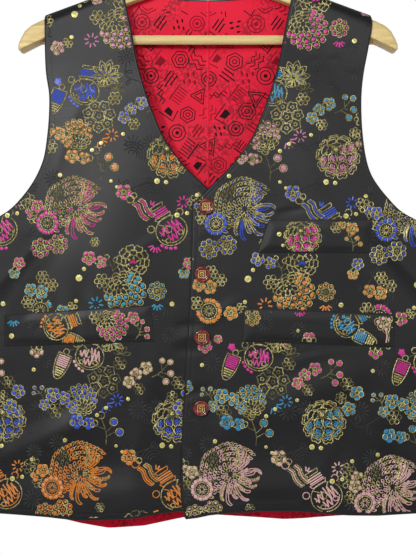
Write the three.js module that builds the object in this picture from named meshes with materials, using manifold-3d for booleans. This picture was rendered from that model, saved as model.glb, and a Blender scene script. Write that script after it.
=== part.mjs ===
// A man's brocade waistcoat, buttoned, hanging on a wooden hanger with a trouser bar.
// Millimetres. +Z is up, -Y is the front, +X is the right of someone who looks at the front.
// The origin is the inner top of the hanger's hook. A drop is a distance down from it.
import * as THREE from "three";
import { mergeVertices } from "three/addons/utils/BufferGeometryUtils.js";
import Module from "manifold-3d";

// Driving sizes of the cloth
const FRONT_CLOTH = 2.2; // brocade, canvas and lining sewn as one wall
const BACK_CLOTH = 1.0;
const LINING_CLOTH = 1.0;
const SEAM_GAP = 0.3;
const CHEST_HALF = 262; // half of the width laid flat, 42 inches round
const UNDERARM_DROP = 352;
const NECK_HALF = 94; // centre line to the high shoulder point
const SHOULDER_HALF = 176; // centre line to the shoulder tip
const SHOULDER_DROP = 120.5;
const BACK_NECK_DROP = 102;
const FRONT_DEPTH = 19; // centre plane to the outside of the front, at the chest
const BACK_DEPTH = 17;
const SIDE_FOLD_RADIUS = 7;
const SIDE_FILL = 110; // how far in from the side the cloth reaches its full depth
const ARM_REACH = 35; // how far below the ridge the cloth still follows the hanger's arm
const ARM_FADE = 90; // the drop over which it leaves the arm for its full depth
const LAP_SHIFT = 1.45; // each front moves by this where one laps over the other
const LAP_FADE = 70;
const LAP_FROM = 10; // how far past the centre line the shift is whole
const LAP_TOP = 200; // the drop where the shift begins
const LAP_EASE = 90;

// Driving sizes of the hanger
const WOOD_CLEARANCE = 0.8;
const WOOD_UNDER_SKIN = BACK_CLOTH + SEAM_GAP + LINING_CLOTH + WOOD_CLEARANCE;
const BAR_DROP = 146.8;
const BAR_RADIUS = 5;
const BAR_HALF = 182;
const HOOK_WIRE = 1.75;
const HOOK_INNER = 20;
const HOOK_STEM_DEPTH = 14;
const FIT_GAP = 0.3;

// Driving sizes of the trimmings
const WELT_CLOTH = 1.5;
const BUTTON_RADIUS = 8.5;
const BUTTON_HEIGHT = 4.2;

// The top of the cloth over the hanger's arms, and on to the middle of the hanger
const RIDGE = [
  { half: 0, drop: 58 },
  { half: 25, drop: 64 },
  { half: 50, drop: 73.5 },
  { half: 75, drop: 83 },
  { half: NECK_HALF, drop: 90 },
  { half: 135, drop: 105.3 },
  { half: SHOULDER_HALF, drop: SHOULDER_DROP },
  { half: 204, drop: 131 },
];

// The hanger's arm: height of its top and bottom edges and its thickness
const ARM = [
  { half: 0, top: 61.1, bottom: 85, thick: 14 },
  { half: 25, top: 67.1, bottom: 88, thick: 14 },
  { half: 50, top: 76.6, bottom: 95, thick: 14.6 },
  { half: 75, top: 86.1, bottom: 104, thick: 15.4 },
  { half: 94, top: 93.1, bottom: 111.5, thick: 16.4 },
  { half: 120, top: 102.9, bottom: 122, thick: 18.6 },
  { half: 145, top: 112.2, bottom: 132.5, thick: 21.6 },
  { half: 162, top: 118.5, bottom: 140, thick: 24 },
  { half: 172, top: 122.2, bottom: 145.2, thick: 25.6 },
  { half: 182, top: 127.3, bottom: 150, thick: 27.6 },
  { half: 190, top: 132, bottom: 153.8, thick: 29 },
  { half: 197, top: 138.5, bottom: 157.2, thick: 30 },
  { half: 201.6, top: 147, bottom: 159.6, thick: 29.4 },
  { half: 203.8, top: 153.5, bottom: 158.8, thick: 26 },
];

// Half opening of the neckline of a front, down to the corner above the first button
const NECK_EDGE = [
  { drop: 90, half: NECK_HALF },
  { drop: 109, half: 89.2 },
  { drop: 135, half: 83.6 },
  { drop: 172, half: 76.6 },
  { drop: 203, half: 68 },
  { drop: 230, half: 58.2 },
  { drop: 257, half: 46 },
  { drop: 284, half: 26 },
  { drop: 308, half: 2 },
  { drop: 326, half: -16.5 },
];

// Half width at the armhole, as the cloth hangs on each side
const ARMHOLE = [
  { drop: SHOULDER_DROP, left: SHOULDER_HALF, right: SHOULDER_HALF },
  { drop: 135, left: 174.5, right: 175.2 },
  { drop: 160, left: 174.2, right: 171 },
  { drop: 185, left: 173, right: 166.3 },
  { drop: 207, left: 169.8, right: 164 },
  { drop: 228, left: 169.8, right: 163.8 },
  { drop: 250, left: 171.5, right: 165.1 },
  { drop: 275, left: 175.4, right: 168.6 },
  { drop: 293, left: 182.5, right: 174.2 },
  { drop: 307, left: 191, right: 183 },
  { drop: 320, left: 201.5, right: 194 },
  { drop: 331, left: 213, right: 205 },
  { drop: 339, left: 226, right: 218 },
  { drop: 346, left: 241, right: 235 },
  { drop: UNDERARM_DROP, left: CHEST_HALF, right: CHEST_HALF },
];

const SIDE_SEAM = [
  { drop: UNDERARM_DROP, half: CHEST_HALF },
  { drop: 430, half: 255 },
  { drop: 510, half: 252.5 },
  { drop: 590, half: 254 },
  { drop: 659, half: 257 },
];

// Front edge of the lapping front. The front beneath runs to UNDERLAP.
const LAP_EDGE = [
  { drop: 326, x: -16.5 },
  { drop: 406, x: -18.2 },
  { drop: 450, x: -20.3 },
  { drop: 520, x: -24.6 },
  { drop: 594, x: -28.8 },
  { drop: 636, x: -28.8 },
  { drop: 656, x: -26 },
  { drop: 662, x: -23.5 },
];
const UNDERLAP = 14;

// How far down each hem hangs, from one side to the other
const HEM_LEFT = [
  { x: -257, drop: 657 },
  { x: -222, drop: 658 },
  { x: -171, drop: 660 },
  { x: -137, drop: 663.2 },
  { x: -109, drop: 662.8 },
  { x: -80, drop: 661.2 },
  { x: -52, drop: 657 },
  { x: -28, drop: 653.8 },
  { x: UNDERLAP, drop: 653 },
];
const HEM_RIGHT = [
  { x: -23.5, drop: 662 },
  { x: -12, drop: 660.5 },
  { x: 2, drop: 657.5 },
  { x: 24, drop: 655.4 },
  { x: 57, drop: 653.8 },
  { x: 99, drop: 654.1 },
  { x: 148, drop: 657.6 },
  { x: 183, drop: 659 },
  { x: 257, drop: 657 },
];
const HEM_BACK = [
  { x: -257, drop: 657 },
  { x: -200, drop: 663 },
  { x: -165, drop: 667 },
  { x: -140, drop: 672.3 },
  { x: -108, drop: 677.3 },
  { x: -70, drop: 675.4 },
  { x: -46, drop: 670.7 },
  { x: -26, drop: 667 },
  { x: 9, drop: 664 },
  { x: 58, drop: 666.5 },
  { x: 83, drop: 668 },
  { x: 112, drop: 667 },
  { x: 152, drop: 664.4 },
  { x: 205, drop: 661 },
  { x: 257, drop: 657 },
];

// Soft folds. tilt turns a fold from upright towards +X at its top; rise is outwards.
const FRONT_FOLDS = [
  { x: -130, drop: 462, tilt: -4, length: 60, width: 18, rise: -2 },
  { x: -205, drop: 588, tilt: 68, length: 90, width: 17, rise: 3.2 },
  { x: -110, drop: 655, tilt: 88, length: 75, width: 26, rise: 3.4 },
  { x: -46, drop: 618, tilt: 0, length: 90, width: 16, rise: -4.2 },
  { x: -108, drop: 390, tilt: 12, length: 120, width: 38, rise: 2.6 },
  { x: -205, drop: 415, tilt: 38, length: 85, width: 13, rise: -2.2 },
  { x: 95, drop: 535, tilt: 66, length: 95, width: 20, rise: 2.6 },
  { x: 60, drop: 636, tilt: 84, length: 85, width: 24, rise: 2.8 },
  { x: 170, drop: 590, tilt: 20, length: 110, width: 26, rise: 3 },
  { x: 205, drop: 410, tilt: -38, length: 85, width: 13, rise: -2.2 },
  { x: 122, drop: 300, tilt: -10, length: 110, width: 34, rise: 2.2 },
];
const BACK_FOLDS = [
  { x: -108, drop: 640, tilt: 4, length: 150, width: 44, rise: -5 },
  { x: -20, drop: 520, tilt: -3, length: 200, width: 26, rise: 3.4 },
  { x: 84, drop: 600, tilt: -5, length: 170, width: 36, rise: -3.4 },
  { x: 160, drop: 480, tilt: 8, length: 190, width: 28, rise: 3.2 },
  { x: -185, drop: 500, tilt: -8, length: 180, width: 26, rise: 3 },
  { x: 0, drop: 230, tilt: 90, length: 110, width: 26, rise: 2 },
];

// Corners of the pocket welts, in order round each one
const WELTS = {
  chest_welt: { side: 1, corners: [[66, 343.5], [175, 343], [172, 378], [54, 377.5]] },
  left_pocket_welt: { side: 1, corners: [[38.8, 437.5], [200, 444.5], [200, 478.6], [38.2, 472.2]] },
  right_pocket_welt: {
    side: -1,
    corners: [[-219, 445], [-61.8, 435], [-57.5, 472.2], [-219, 478]],
  },
};
const BUTTONS = [
  { x: -1.9, drop: 328.6 },
  { x: -6.3, drop: 400.7 },
  { x: -6.4, drop: 468.1 },
  { x: -7.5, drop: 543.6 },
];

const clamp01 = (v) => Math.min(1, Math.max(0, v));
const smooth = (v) => clamp01(v) ** 2 * (3 - 2 * clamp01(v));
const mix = (a, b, t) => a + (b - a) * t;

// Value of one named column at a value of another, in straight steps
function lookUp(table, from, at, to) {
  const rising = table[0][from] < table.at(-1)[from];
  const rows = rising ? table : [...table].reverse();
  if (at <= rows[0][from]) return rows[0][to];
  for (let i = 1; i < rows.length; i++) {
    const [a, b] = [rows[i - 1], rows[i]];
    if (at <= b[from]) return mix(a[to], b[to], (at - a[from]) / (b[from] - a[from]));
  }
  return rows.at(-1)[to];
}

// A smooth curve through the rows, walked by its length
function edgeCurve(table, across) {
  const curve = new THREE.SplineCurve(
    table.map((row) => new THREE.Vector2(row[across], row.drop)),
  );
  curve.arcLengthDivisions = 600;
  return (t) => curve.getPointAt(clamp01(t));
}

function foldRise(folds, x, drop) {
  let rise = 0;
  for (const f of folds) {
    const tilt = THREE.MathUtils.degToRad(f.tilt);
    const along = (x - f.x) * Math.sin(tilt) - (drop - f.drop) * Math.cos(tilt);
    const across = (x - f.x) * Math.cos(tilt) + (drop - f.drop) * Math.sin(tilt);
    rise += f.rise * Math.exp(-((across / f.width) ** 2) - (along / f.length) ** 4);
  }
  return rise;
}

// Half depth where the cloth wraps the hanger's arm
const armDepth = (x) => lookUp(ARM, "half", Math.abs(x), "thick") / 2 + WOOD_UNDER_SKIN;

// Distance from the centre plane to the outside of the cloth
function depthAt(x, drop, full) {
  const below = Math.max(0, drop - lookUp(RIDGE, "half", Math.abs(x), "drop"));
  const arm = armDepth(x);
  const wrap = Math.sqrt(1 - (1 - clamp01(below / arm)) ** 2);
  const side = lookUp(SIDE_SEAM, "drop", drop, "half");
  const inset = Math.max(0, side - Math.abs(x));
  const turn = Math.sqrt(1 - (1 - clamp01(inset / SIDE_FOLD_RADIUS)) ** 2);
  const fill = smooth((inset - 0.6 * SIDE_FOLD_RADIUS) / SIDE_FILL);
  const body = SIDE_FOLD_RADIUS * turn + (full - SIDE_FOLD_RADIUS) * fill;
  return wrap * mix(arm, body, smooth((below - ARM_REACH) / ARM_FADE));
}

// How much a fold shows near a seam over the arm or at the side
function foldShare(x, drop) {
  const below = drop - lookUp(RIDGE, "half", Math.abs(x), "drop");
  const inset = lookUp(SIDE_SEAM, "drop", drop, "half") - Math.abs(x);
  return smooth((below - 30) / 60) * smooth(inset / 40);
}

// lap is 1 for the front on top, -1 for the front beneath
function frontSkin(x, drop, lap) {
  const lapped = smooth(1 - (lap * x - LAP_FROM) / LAP_FADE) * smooth((drop - LAP_TOP) / LAP_EASE);
  const depth = depthAt(x, drop, FRONT_DEPTH) + lap * LAP_SHIFT * lapped;
  const y = -SEAM_GAP / 2 - depth - foldShare(x, drop) * foldRise(FRONT_FOLDS, x, drop);
  return new THREE.Vector3(x, y, -drop);
}

function backSkin(x, drop) {
  const y = depthAt(x, drop, BACK_DEPTH) + foldShare(x, drop) * foldRise(BACK_FOLDS, x, drop);
  return new THREE.Vector3(x, SEAM_GAP / 2 + y, -drop);
}

// A closed wall between two offsets from a surface point(v, t), as a grid of rows and columns.
// facing is -1 for a wall in front of the seams and 1 for one behind them.
function wallGeometry(point, rows, cols, { outside, facing, outer, inner }) {
  const step = 1e-3;
  const positions = [];
  for (const offset of [outer, inner]) {
    for (const v of rows) {
      for (const t of cols) {
        const down = point(Math.min(v + step, rows.at(-1)), t);
        down.sub(point(Math.max(v - step, 0), t));
        const along = point(v, Math.min(t + step, cols.at(-1)));
        along.sub(point(v, Math.max(t - step, cols[0])));
        const normal = along.cross(down).normalize().multiplyScalar(outside);
        const p = point(v, t).addScaledVector(normal, offset);
        positions.push(p.x, facing * Math.max(facing * p.y, SEAM_GAP / 2), p.z);
      }
    }
  }
  const [nr, nc] = [rows.length, cols.length];
  const layer = nr * nc;
  const index = [];
  const quad = (a, b, c, d) =>
    index.push(...(outside > 0 ? [a, b, c, a, c, d] : [a, c, b, a, d, c]));
  for (let i = 0; i + 1 < nr; i++) {
    for (let j = 0; j + 1 < nc; j++) {
      const [a, b, c, d] = [i * nc + j, i * nc + j + 1, (i + 1) * nc + j + 1, (i + 1) * nc + j];
      quad(a, b, c, d);
      quad(a + layer, d + layer, c + layer, b + layer);
    }
  }
  const border = [];
  for (let j = 0; j < nc; j++) border.push(j);
  for (let i = 1; i < nr; i++) border.push(i * nc + nc - 1);
  for (let j = nc - 2; j >= 0; j--) border.push((nr - 1) * nc + j);
  for (let i = nr - 2; i > 0; i--) border.push(i * nc);
  border.forEach((a, k) => {
    const b = border[(k + 1) % border.length];
    quad(b, a, a + layer, b + layer);
  });
  const geometry = new THREE.BufferGeometry();
  geometry.setAttribute("position", new THREE.Float32BufferAttribute(positions, 3));
  geometry.setIndex(index);
  geometry.computeVertexNormals();
  return geometry;
}

// Rows crowd over the shoulder, where the cloth turns over the arm
const ARM_ROWS = [0, 0.004, 0.013, 0.028, 0.052];
const upperRows = (count) => [
  ...ARM_ROWS,
  ...Array.from({ length: count }, (_, i) => mix(0.09, 1, i / (count - 1))),
];
const lowerRows = (count) => Array.from({ length: count }, (_, i) => 1 + (i + 1) / count);

// Columns crowd round the fold at the side
const SIDE_INSETS = [32, 17, SIDE_FOLD_RADIUS, 3.2, 0.8, 0];
const sideColumns = (inner, count) => {
  const last = 1 - 50 / (CHEST_HALF - inner);
  const even = Array.from({ length: count }, (_, i) => mix(0, last, i / (count - 1)));
  return [...even, ...SIDE_INSETS.map((e) => 1 - e / (CHEST_HALF - inner))];
};

const armholeAt = { "-1": edgeCurve(ARMHOLE, "left"), 1: edgeCurve(ARMHOLE, "right") };
const sideSeamAt = edgeCurve(SIDE_SEAM, "half");
const neckEdgeAt = edgeCurve(NECK_EDGE, "half");
const lapEdgeAt = edgeCurve(LAP_EDGE, "x");

// side is -1 for the wearer's right front, which lies beneath, and 1 for the wearer's left.
// v runs from 0 at the shoulder to 1 at the underarm and 2 at the hem, t from the middle out.
function frontPoint(side) {
  const hem = side < 0 ? HEM_LEFT : HEM_RIGHT;
  const mirrored = (p) => new THREE.Vector2(side * p.x, p.y);
  const underlapEnd = new THREE.Vector2(UNDERLAP, lookUp(hem, "x", UNDERLAP, "drop"));
  const inner = (v) => {
    if (v <= 1) return mirrored(neckEdgeAt(v));
    if (side > 0) return lapEdgeAt(v - 1);
    return mirrored(neckEdgeAt(1)).lerp(underlapEnd, v - 1);
  };
  const outer = (v) => mirrored(v <= 1 ? armholeAt[side](v) : sideSeamAt(v - 1));
  return (v, t) => {
    const p = inner(v).lerp(outer(v), t);
    if (v > 1) {
      const straight = mix(inner(2).y, outer(2).y, t);
      p.y += (v - 1) ** 3 * (lookUp(hem, "x", p.x, "drop") - straight);
    }
    return frontSkin(p.x, p.y, side);
  };
}

// The back's top edge: a hollow at the neck, then the shoulder
function backTop(x) {
  if (x >= NECK_HALF) return lookUp(RIDGE, "half", x, "drop");
  const neckCorner = lookUp(RIDGE, "half", NECK_HALF, "drop");
  return mix(BACK_NECK_DROP, neckCorner, (x / NECK_HALF) ** 2.2);
}

// t runs from -1 at one side to 1 at the other
function backPoint(v, t) {
  const side = t < 0 ? -1 : 1;
  const share = Math.abs(t);
  const outer = v <= 1 ? armholeAt[side](v) : sideSeamAt(v - 1);
  const x = side * share * outer.x;
  if (v > 1) {
    const hemShift = lookUp(HEM_BACK, "x", x, "drop") - sideSeamAt(1).y;
    return backSkin(x, outer.y + (v - 1) ** 2 * hemShift);
  }
  const topShift = backTop(share * SHOULDER_HALF) - mix(BACK_NECK_DROP, SHOULDER_DROP, share);
  const level = mix(mix(BACK_NECK_DROP, UNDERARM_DROP, v), outer.y, share);
  return backSkin(x, level + (1 - v) * topShift);
}

const NECK_COLUMN = NECK_HALF / SHOULDER_HALF;
const halfBackColumns = [
  ...[0.27, 0.52, 0.74, 0.87, 0.94, 0.975, 0.99, 1].map((share) => share * NECK_COLUMN),
  ...[0.64, 0.74, 0.82],
  ...SIDE_INSETS.map((inset) => 1 - inset / CHEST_HALF),
];
const BACK_COLUMNS = [...halfBackColumns.map((t) => -t).reverse(), 0, ...halfBackColumns];

// A dished button with a raised rim, turned about its own axis
function buttonGeometry() {
  const r = BUTTON_RADIUS;
  const h = BUTTON_HEIGHT;
  const profile = [
    [0, 0],
    [0.62 * r, 0],
    [0.9 * r, 0.28 * h],
    [r, 0.6 * h],
    [0.94 * r, 0.9 * h],
    [0.82 * r, h],
    [0.7 * r, 0.86 * h],
    [0.6 * r, 0.72 * h],
    [0, 0.7 * h],
  ].map(([x, y]) => new THREE.Vector2(x, y));
  return new THREE.LatheGeometry(profile, 16);
}

function buttonPlace(mesh, { x, drop }) {
  const step = 4;
  const at = frontSkin(x, drop, 1);
  const along = frontSkin(x + step, drop, 1).sub(frontSkin(x - step, drop, 1));
  const down = frontSkin(x, drop + step, 1).sub(frontSkin(x, drop - step, 1));
  const normal = down.cross(along).normalize();
  mesh.quaternion.setFromUnitVectors(new THREE.Vector3(0, 1, 0), normal);
  mesh.position.copy(at).addScaledVector(normal, FIT_GAP + 0.1);
}

// The arms are one piece of wood, lofted through sections with a rounded top
function armsGeometry() {
  const stations = [...ARM.slice(1).map((row) => ({ ...row, half: -row.half })).reverse(), ...ARM];
  const turns = 8;
  const positions = [];
  for (const s of stations) {
    const wide = s.thick / 2;
    const tall = s.bottom - s.top;
    const beyond = smooth((Math.abs(s.half) - 172) / 25);
    const round = Math.min(mix(wide, 8, beyond), 0.6 * tall);
    for (let k = 0; k <= turns; k++) {
      const a = (Math.PI * k) / turns;
      const y = -Math.sign(Math.cos(a)) * (wide - round) - Math.cos(a) * round;
      positions.push(s.half, k * 2 === turns ? 0 : y, -(s.top + round * (1 - Math.sin(a))));
    }
    positions.push(s.half, wide, -s.bottom, s.half, -wide, -s.bottom);
  }
  const ring = turns + 3;
  const index = [];
  for (let i = 0; i + 1 < stations.length; i++) {
    for (let k = 0; k < ring; k++) {
      const n = (k + 1) % ring;
      const [a, d, c, b] = [i * ring + k, i * ring + n, (i + 1) * ring + n, (i + 1) * ring + k];
      index.push(a, b, c, a, c, d);
    }
  }
  const end = (stations.length - 1) * ring;
  for (let k = 1; k + 1 < ring; k++) {
    index.push(0, k, k + 1, end, end + k + 1, end + k);
  }
  const geometry = new THREE.BufferGeometry();
  geometry.setAttribute("position", new THREE.Float32BufferAttribute(positions, 3));
  geometry.setIndex(index);
  return geometry;
}

const wasm = await Module();
wasm.setup();

function solidOf(geometry) {
  const bare = geometry.clone();
  bare.deleteAttribute("normal");
  bare.deleteAttribute("uv");
  const merged = mergeVertices(bare, 1e-4);
  return new wasm.Manifold(
    new wasm.Mesh({
      numProp: 3,
      vertProperties: merged.attributes.position.array,
      triVerts: new Uint32Array(merged.index.array),
    }),
  );
}

function geometryOf(solid) {
  const mesh = solid.getMesh();
  const geometry = new THREE.BufferGeometry();
  geometry.setAttribute("position", new THREE.BufferAttribute(mesh.vertProperties, 3));
  geometry.setIndex(new THREE.BufferAttribute(mesh.triVerts, 1));
  geometry.computeVertexNormals();
  return geometry;
}

const barGeometry = (radius, half) =>
  new THREE.CylinderGeometry(radius, radius, 2 * half, 20).rotateZ(Math.PI / 2);

// Arms with a socket for each end of the bar and a hole for the stem of the hook
function borePieces() {
  const bore = barGeometry(BAR_RADIUS + FIT_GAP, BAR_HALF + FIT_GAP).translate(0, 0, -BAR_DROP);
  const hole = new THREE.CylinderGeometry(HOOK_WIRE + FIT_GAP, HOOK_WIRE + FIT_GAP, 40, 16)
    .rotateX(Math.PI / 2)
    .translate(0, 0, 20 - ARM[0].top - HOOK_STEM_DEPTH - FIT_GAP);
  return geometryOf(solidOf(armsGeometry()).subtract(solidOf(bore)).subtract(solidOf(hole)));
}

// A question-mark hook of round wire, its stem let into the wood
function hookGeometry() {
  const r = HOOK_INNER + HOOK_WIRE;
  const centre = -HOOK_INNER;
  const points = [];
  for (let degrees = 205; degrees >= -48; degrees -= 23) {
    const a = THREE.MathUtils.degToRad(degrees);
    points.push(new THREE.Vector3(r * Math.cos(a), 0, centre + r * Math.sin(a)));
  }
  const woodTop = -ARM[0].top;
  points.push(new THREE.Vector3(6.5, 0, centre - r - 1));
  points.push(new THREE.Vector3(1.2, 0, centre - r - 6));
  points.push(new THREE.Vector3(0, 0, woodTop - 1));
  points.push(new THREE.Vector3(0, 0, woodTop - HOOK_STEM_DEPTH));
  const path = new THREE.CatmullRomCurve3(points, false, "centripetal");
  const round = new THREE.Shape().absarc(0, 0, HOOK_WIRE, 0, 2 * Math.PI);
  const options = { steps: 36, curveSegments: 5, bevelEnabled: false, extrudePath: path };
  return new THREE.ExtrudeGeometry(round, options);
}

const materials = {
  brocade: new THREE.MeshStandardMaterial({ color: 0x232326, roughness: 0.5 }),
  satin: new THREE.MeshStandardMaterial({ color: 0x17171a, roughness: 0.45 }),
  lining: new THREE.MeshStandardMaterial({ color: 0xc41330, roughness: 0.5 }),
  wood: new THREE.MeshStandardMaterial({ color: 0xe6d39c, roughness: 0.45 }),
  steel: new THREE.MeshStandardMaterial({ color: 0xc8c8cc, roughness: 0.25, metalness: 1 }),
  resin: new THREE.MeshStandardMaterial({ color: 0x7a0c10, roughness: 0.2 }),
};

const waistcoat = new THREE.Group();
function add(name, geometry, material) {
  const mesh = new THREE.Mesh(geometry, material);
  mesh.name = name;
  waistcoat.add(mesh);
  return mesh;
}

// A wall that follows one front, between two offsets from its outside
function frontLayer(side, outer, inner) {
  const cols = sideColumns(side < 0 ? -UNDERLAP : -18, 12);
  const rows = [...upperRows(12), ...lowerRows(14)];
  const layers = { outside: -side, facing: -1, outer, inner };
  return wallGeometry(frontPoint(side), rows, cols, layers);
}

function addFront(name, side) {
  add(name, frontLayer(side, 0, -FRONT_CLOTH), materials.brocade);
}

// A welt is the front's own outside, moved out, within four corners
function addWelt(name, { side, corners }) {
  const outline = new THREE.Shape(corners.map(([x, drop]) => new THREE.Vector2(x, -drop)));
  const cutter = new THREE.ExtrudeGeometry(outline, { depth: 60, bevelEnabled: false })
    .rotateX(Math.PI / 2);
  const layer = frontLayer(side, SEAM_GAP + WELT_CLOTH, SEAM_GAP);
  add(name, geometryOf(solidOf(layer).intersect(solidOf(cutter))), materials.brocade);
}

function addBack(name, outer, thickness, material) {
  const rows = [...upperRows(8), ...lowerRows(9)];
  const layers = { outside: 1, facing: 1, outer, inner: outer - thickness };
  add(name, wallGeometry(backPoint, rows, BACK_COLUMNS, layers), material);
}

addFront("right_front", -1);
addFront("left_front", 1);
addBack("back", 0, BACK_CLOTH, materials.satin);
addBack("back_lining", -BACK_CLOTH - SEAM_GAP, LINING_CLOTH, materials.lining);
for (const [name, welt] of Object.entries(WELTS)) addWelt(name, welt);
BUTTONS.forEach((place, i) => {
  buttonPlace(add(`button_${i + 1}`, buttonGeometry(), materials.resin), place);
});
add("hanger_arms", borePieces(), materials.wood);
add("trouser_bar", barGeometry(BAR_RADIUS, BAR_HALF), materials.wood).position.z = -BAR_DROP;
add("hook", hookGeometry(), materials.steel);

export default waistcoat;
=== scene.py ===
import itertools
import math

import bmesh
import bpy
import numpy as np
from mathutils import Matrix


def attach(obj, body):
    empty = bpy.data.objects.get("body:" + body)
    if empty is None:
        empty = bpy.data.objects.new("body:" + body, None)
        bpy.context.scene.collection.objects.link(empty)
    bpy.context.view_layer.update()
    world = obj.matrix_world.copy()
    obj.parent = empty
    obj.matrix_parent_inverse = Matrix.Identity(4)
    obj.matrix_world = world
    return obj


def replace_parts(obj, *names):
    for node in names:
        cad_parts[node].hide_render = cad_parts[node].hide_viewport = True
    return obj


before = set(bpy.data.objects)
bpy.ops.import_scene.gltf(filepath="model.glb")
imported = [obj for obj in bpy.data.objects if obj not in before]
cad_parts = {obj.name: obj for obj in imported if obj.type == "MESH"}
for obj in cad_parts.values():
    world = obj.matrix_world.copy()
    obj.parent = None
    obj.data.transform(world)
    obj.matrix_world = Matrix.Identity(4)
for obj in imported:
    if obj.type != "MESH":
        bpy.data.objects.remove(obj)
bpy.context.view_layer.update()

MM = 0.001
BODY = "root"
rng = np.random.default_rng(7)

# Sizes of the cloth, as in the frame
FRONT_CLOTH = 2.2
THIN_CLOTH = 1.0
SEAM_GAP = 0.3
CHEST_HALF = 262
NECK_HALF = 94
SHOULDER_HALF = 176
SHOULDER_DROP = 120.5
UNDERARM_DROP = 352
BACK_NECK_DROP = 102
FRONT_DEPTH = 19
BACK_DEPTH = 17
SIDE_FOLD_RADIUS = 7
SIDE_FILL = 110
ARM_REACH, ARM_FADE = 35, 90
LAP_SHIFT, LAP_FADE, LAP_FROM, LAP_TOP, LAP_EASE = 1.45, 70, 10, 200, 90
SKIN_OVER_WOOD = 3.1
UNDERLAP = 14
WELT_CLOTH = 1.5
LAP_CORNER_DROP = 326

RIDGE = {
    "half": [0, 25, 50, 75, 94, 135, 176, 204],
    "drop": [58, 64, 73.5, 83, 90, 105.3, 120.5, 131],
}
ARM = {
    "half": [0, 25, 50, 75, 94, 120, 145, 162, 172, 182, 190, 197, 201.6, 203.8],
    "top": [61.1, 67.1, 76.6, 86.1, 93.1, 102.9, 112.2, 118.5, 122.2, 127.3, 132, 138.5, 147, 153.5],
    "bottom": [85, 88, 95, 104, 111.5, 122, 132.5, 140, 145.2, 150, 153.8, 157.2, 159.6, 158.8],
    "thick": [14, 14, 14.6, 15.4, 16.4, 18.6, 21.6, 24, 25.6, 27.6, 29, 30, 29.4, 26],
}
NECK_EDGE = {
    "half": [94, 89.2, 83.6, 76.6, 68, 58.2, 46, 26, 2, -16.5],
    "drop": [90, 109, 135, 172, 203, 230, 257, 284, 308, 326],
}
ARMHOLE_DROPS = [120.5, 135, 160, 185, 207, 228, 250, 275, 293, 307, 320, 331, 339, 346, 352]
ARMHOLE = {
    -1: [176, 174.5, 174.2, 173, 169.8, 169.8, 171.5, 175.4, 182.5, 191, 201.5, 213, 226, 241, 262],
    1: [176, 175.2, 171, 166.3, 164, 163.8, 165.1, 168.6, 174.2, 183, 194, 205, 218, 235, 262],
}
SIDE_SEAM = {"half": [262, 255, 252.5, 254, 257], "drop": [352, 430, 510, 590, 659]}
LAP_EDGE = {
    "x": [-16.5, -18.2, -20.3, -24.6, -28.8, -28.8, -26, -23.5],
    "drop": [326, 406, 450, 520, 594, 636, 656, 662],
}
HEMS = {
    -1: {
        "x": [-257, -222, -171, -137, -109, -80, -52, -28, UNDERLAP],
        "drop": [657, 658, 660, 663.2, 662.8, 661.2, 657, 653.8, 653],
    },
    1: {
        "x": [-23.5, -12, 2, 24, 57, 99, 148, 183, 257],
        "drop": [662, 660.5, 657.5, 655.4, 653.8, 654.1, 657.6, 659, 657],
    },
}
HEM_BACK = {
    "x": [-257, -200, -165, -140, -108, -70, -46, -26, 9, 58, 83, 112, 152, 205, 257],
    "drop": [657, 663, 667, 672.3, 677.3, 675.4, 670.7, 667, 664, 666.5, 668, 667, 664.4, 661, 657],
}

# Folds: x, drop, tilt in degrees, length, width, rise
FRONT_FOLDS = (
    (-130, 462, -4, 60, 18, -2),
    (-205, 588, 68, 90, 17, 3.2),
    (-110, 655, 88, 75, 26, 3.4),
    (-46, 618, 0, 90, 16, -4.2),
    (-108, 390, 12, 120, 38, 2.6),
    (-205, 415, 38, 85, 13, -2.2),
    (95, 535, 66, 95, 20, 2.6),
    (60, 636, 84, 85, 24, 2.8),
    (170, 590, 20, 110, 26, 3),
    (205, 410, -38, 85, 13, -2.2),
    (122, 300, -10, 110, 34, 2.2),
)
# Creases too fine for the solids, with the same columns
FRONT_CREASES = (
    (-124, 455, -5, 34, 5, 0.9),
    (-140, 458, -2, 30, 5, -0.7),
    (-120, 634, 86, 80, 12, 1.0),
    (-150, 608, 84, 90, 12, -0.9),
    (52, 640, 90, 50, 6, -1.0),
    (100, 492, 72, 42, 5, 0.7),
    (140, 478, 78, 34, 4, -0.5),
    (14, 440, 60, 22, 6, 0.9),
    (-20, 455, 84, 15, 4, -0.7),
    (-22, 468, 80, 18, 4, 0.6),
    (-21, 482, 88, 14, 4, -0.6),
    (-16, 528, 74, 20, 5, -0.7),
    (10, 348, 62, 26, 6, 0.6),
    (-60, 365, 52, 40, 7, 0.5),
    (82, 334, 80, 26, 4, -0.6),
    (64, 340, 56, 20, 4, 0.5),
    (-205, 470, 24, 60, 8, 0.8),
    (-180, 560, 58, 70, 9, -0.8),
    (228, 520, -14, 90, 9, 0.8),
    (150, 250, -22, 60, 8, 0.6),
    (-150, 250, 22, 60, 8, 0.6),
    (-212, 398, 44, 46, 5, 0.7),
    (214, 398, -44, 46, 5, 0.7),
    (-70, 560, 10, 70, 9, 0.6),
    (120, 610, 30, 60, 8, 0.6),
)
BACK_FOLDS = (
    (-108, 640, 4, 150, 44, -5),
    (-20, 520, -3, 200, 26, 3.4),
    (84, 600, -5, 170, 36, -3.4),
    (160, 480, 8, 190, 28, 3.2),
    (-185, 500, -8, 180, 26, 3),
    (0, 230, 90, 110, 26, 2),
)
BACK_CREASES = (
    (-60, 300, 78, 60, 9, 0.8),
    (52, 330, -74, 70, 10, 0.8),
    (20, 430, 84, 80, 9, -0.7),
    (-120, 420, 60, 60, 8, 0.8),
    (190, 400, -42, 60, 8, -0.9),
    (-190, 400, 42, 60, 8, -0.9),
    (120, 640, 12, 60, 9, 0.9),
    (-40, 640, -10, 70, 9, 0.8),
    (0, 160, 86, 60, 9, 0.6),
)

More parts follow.
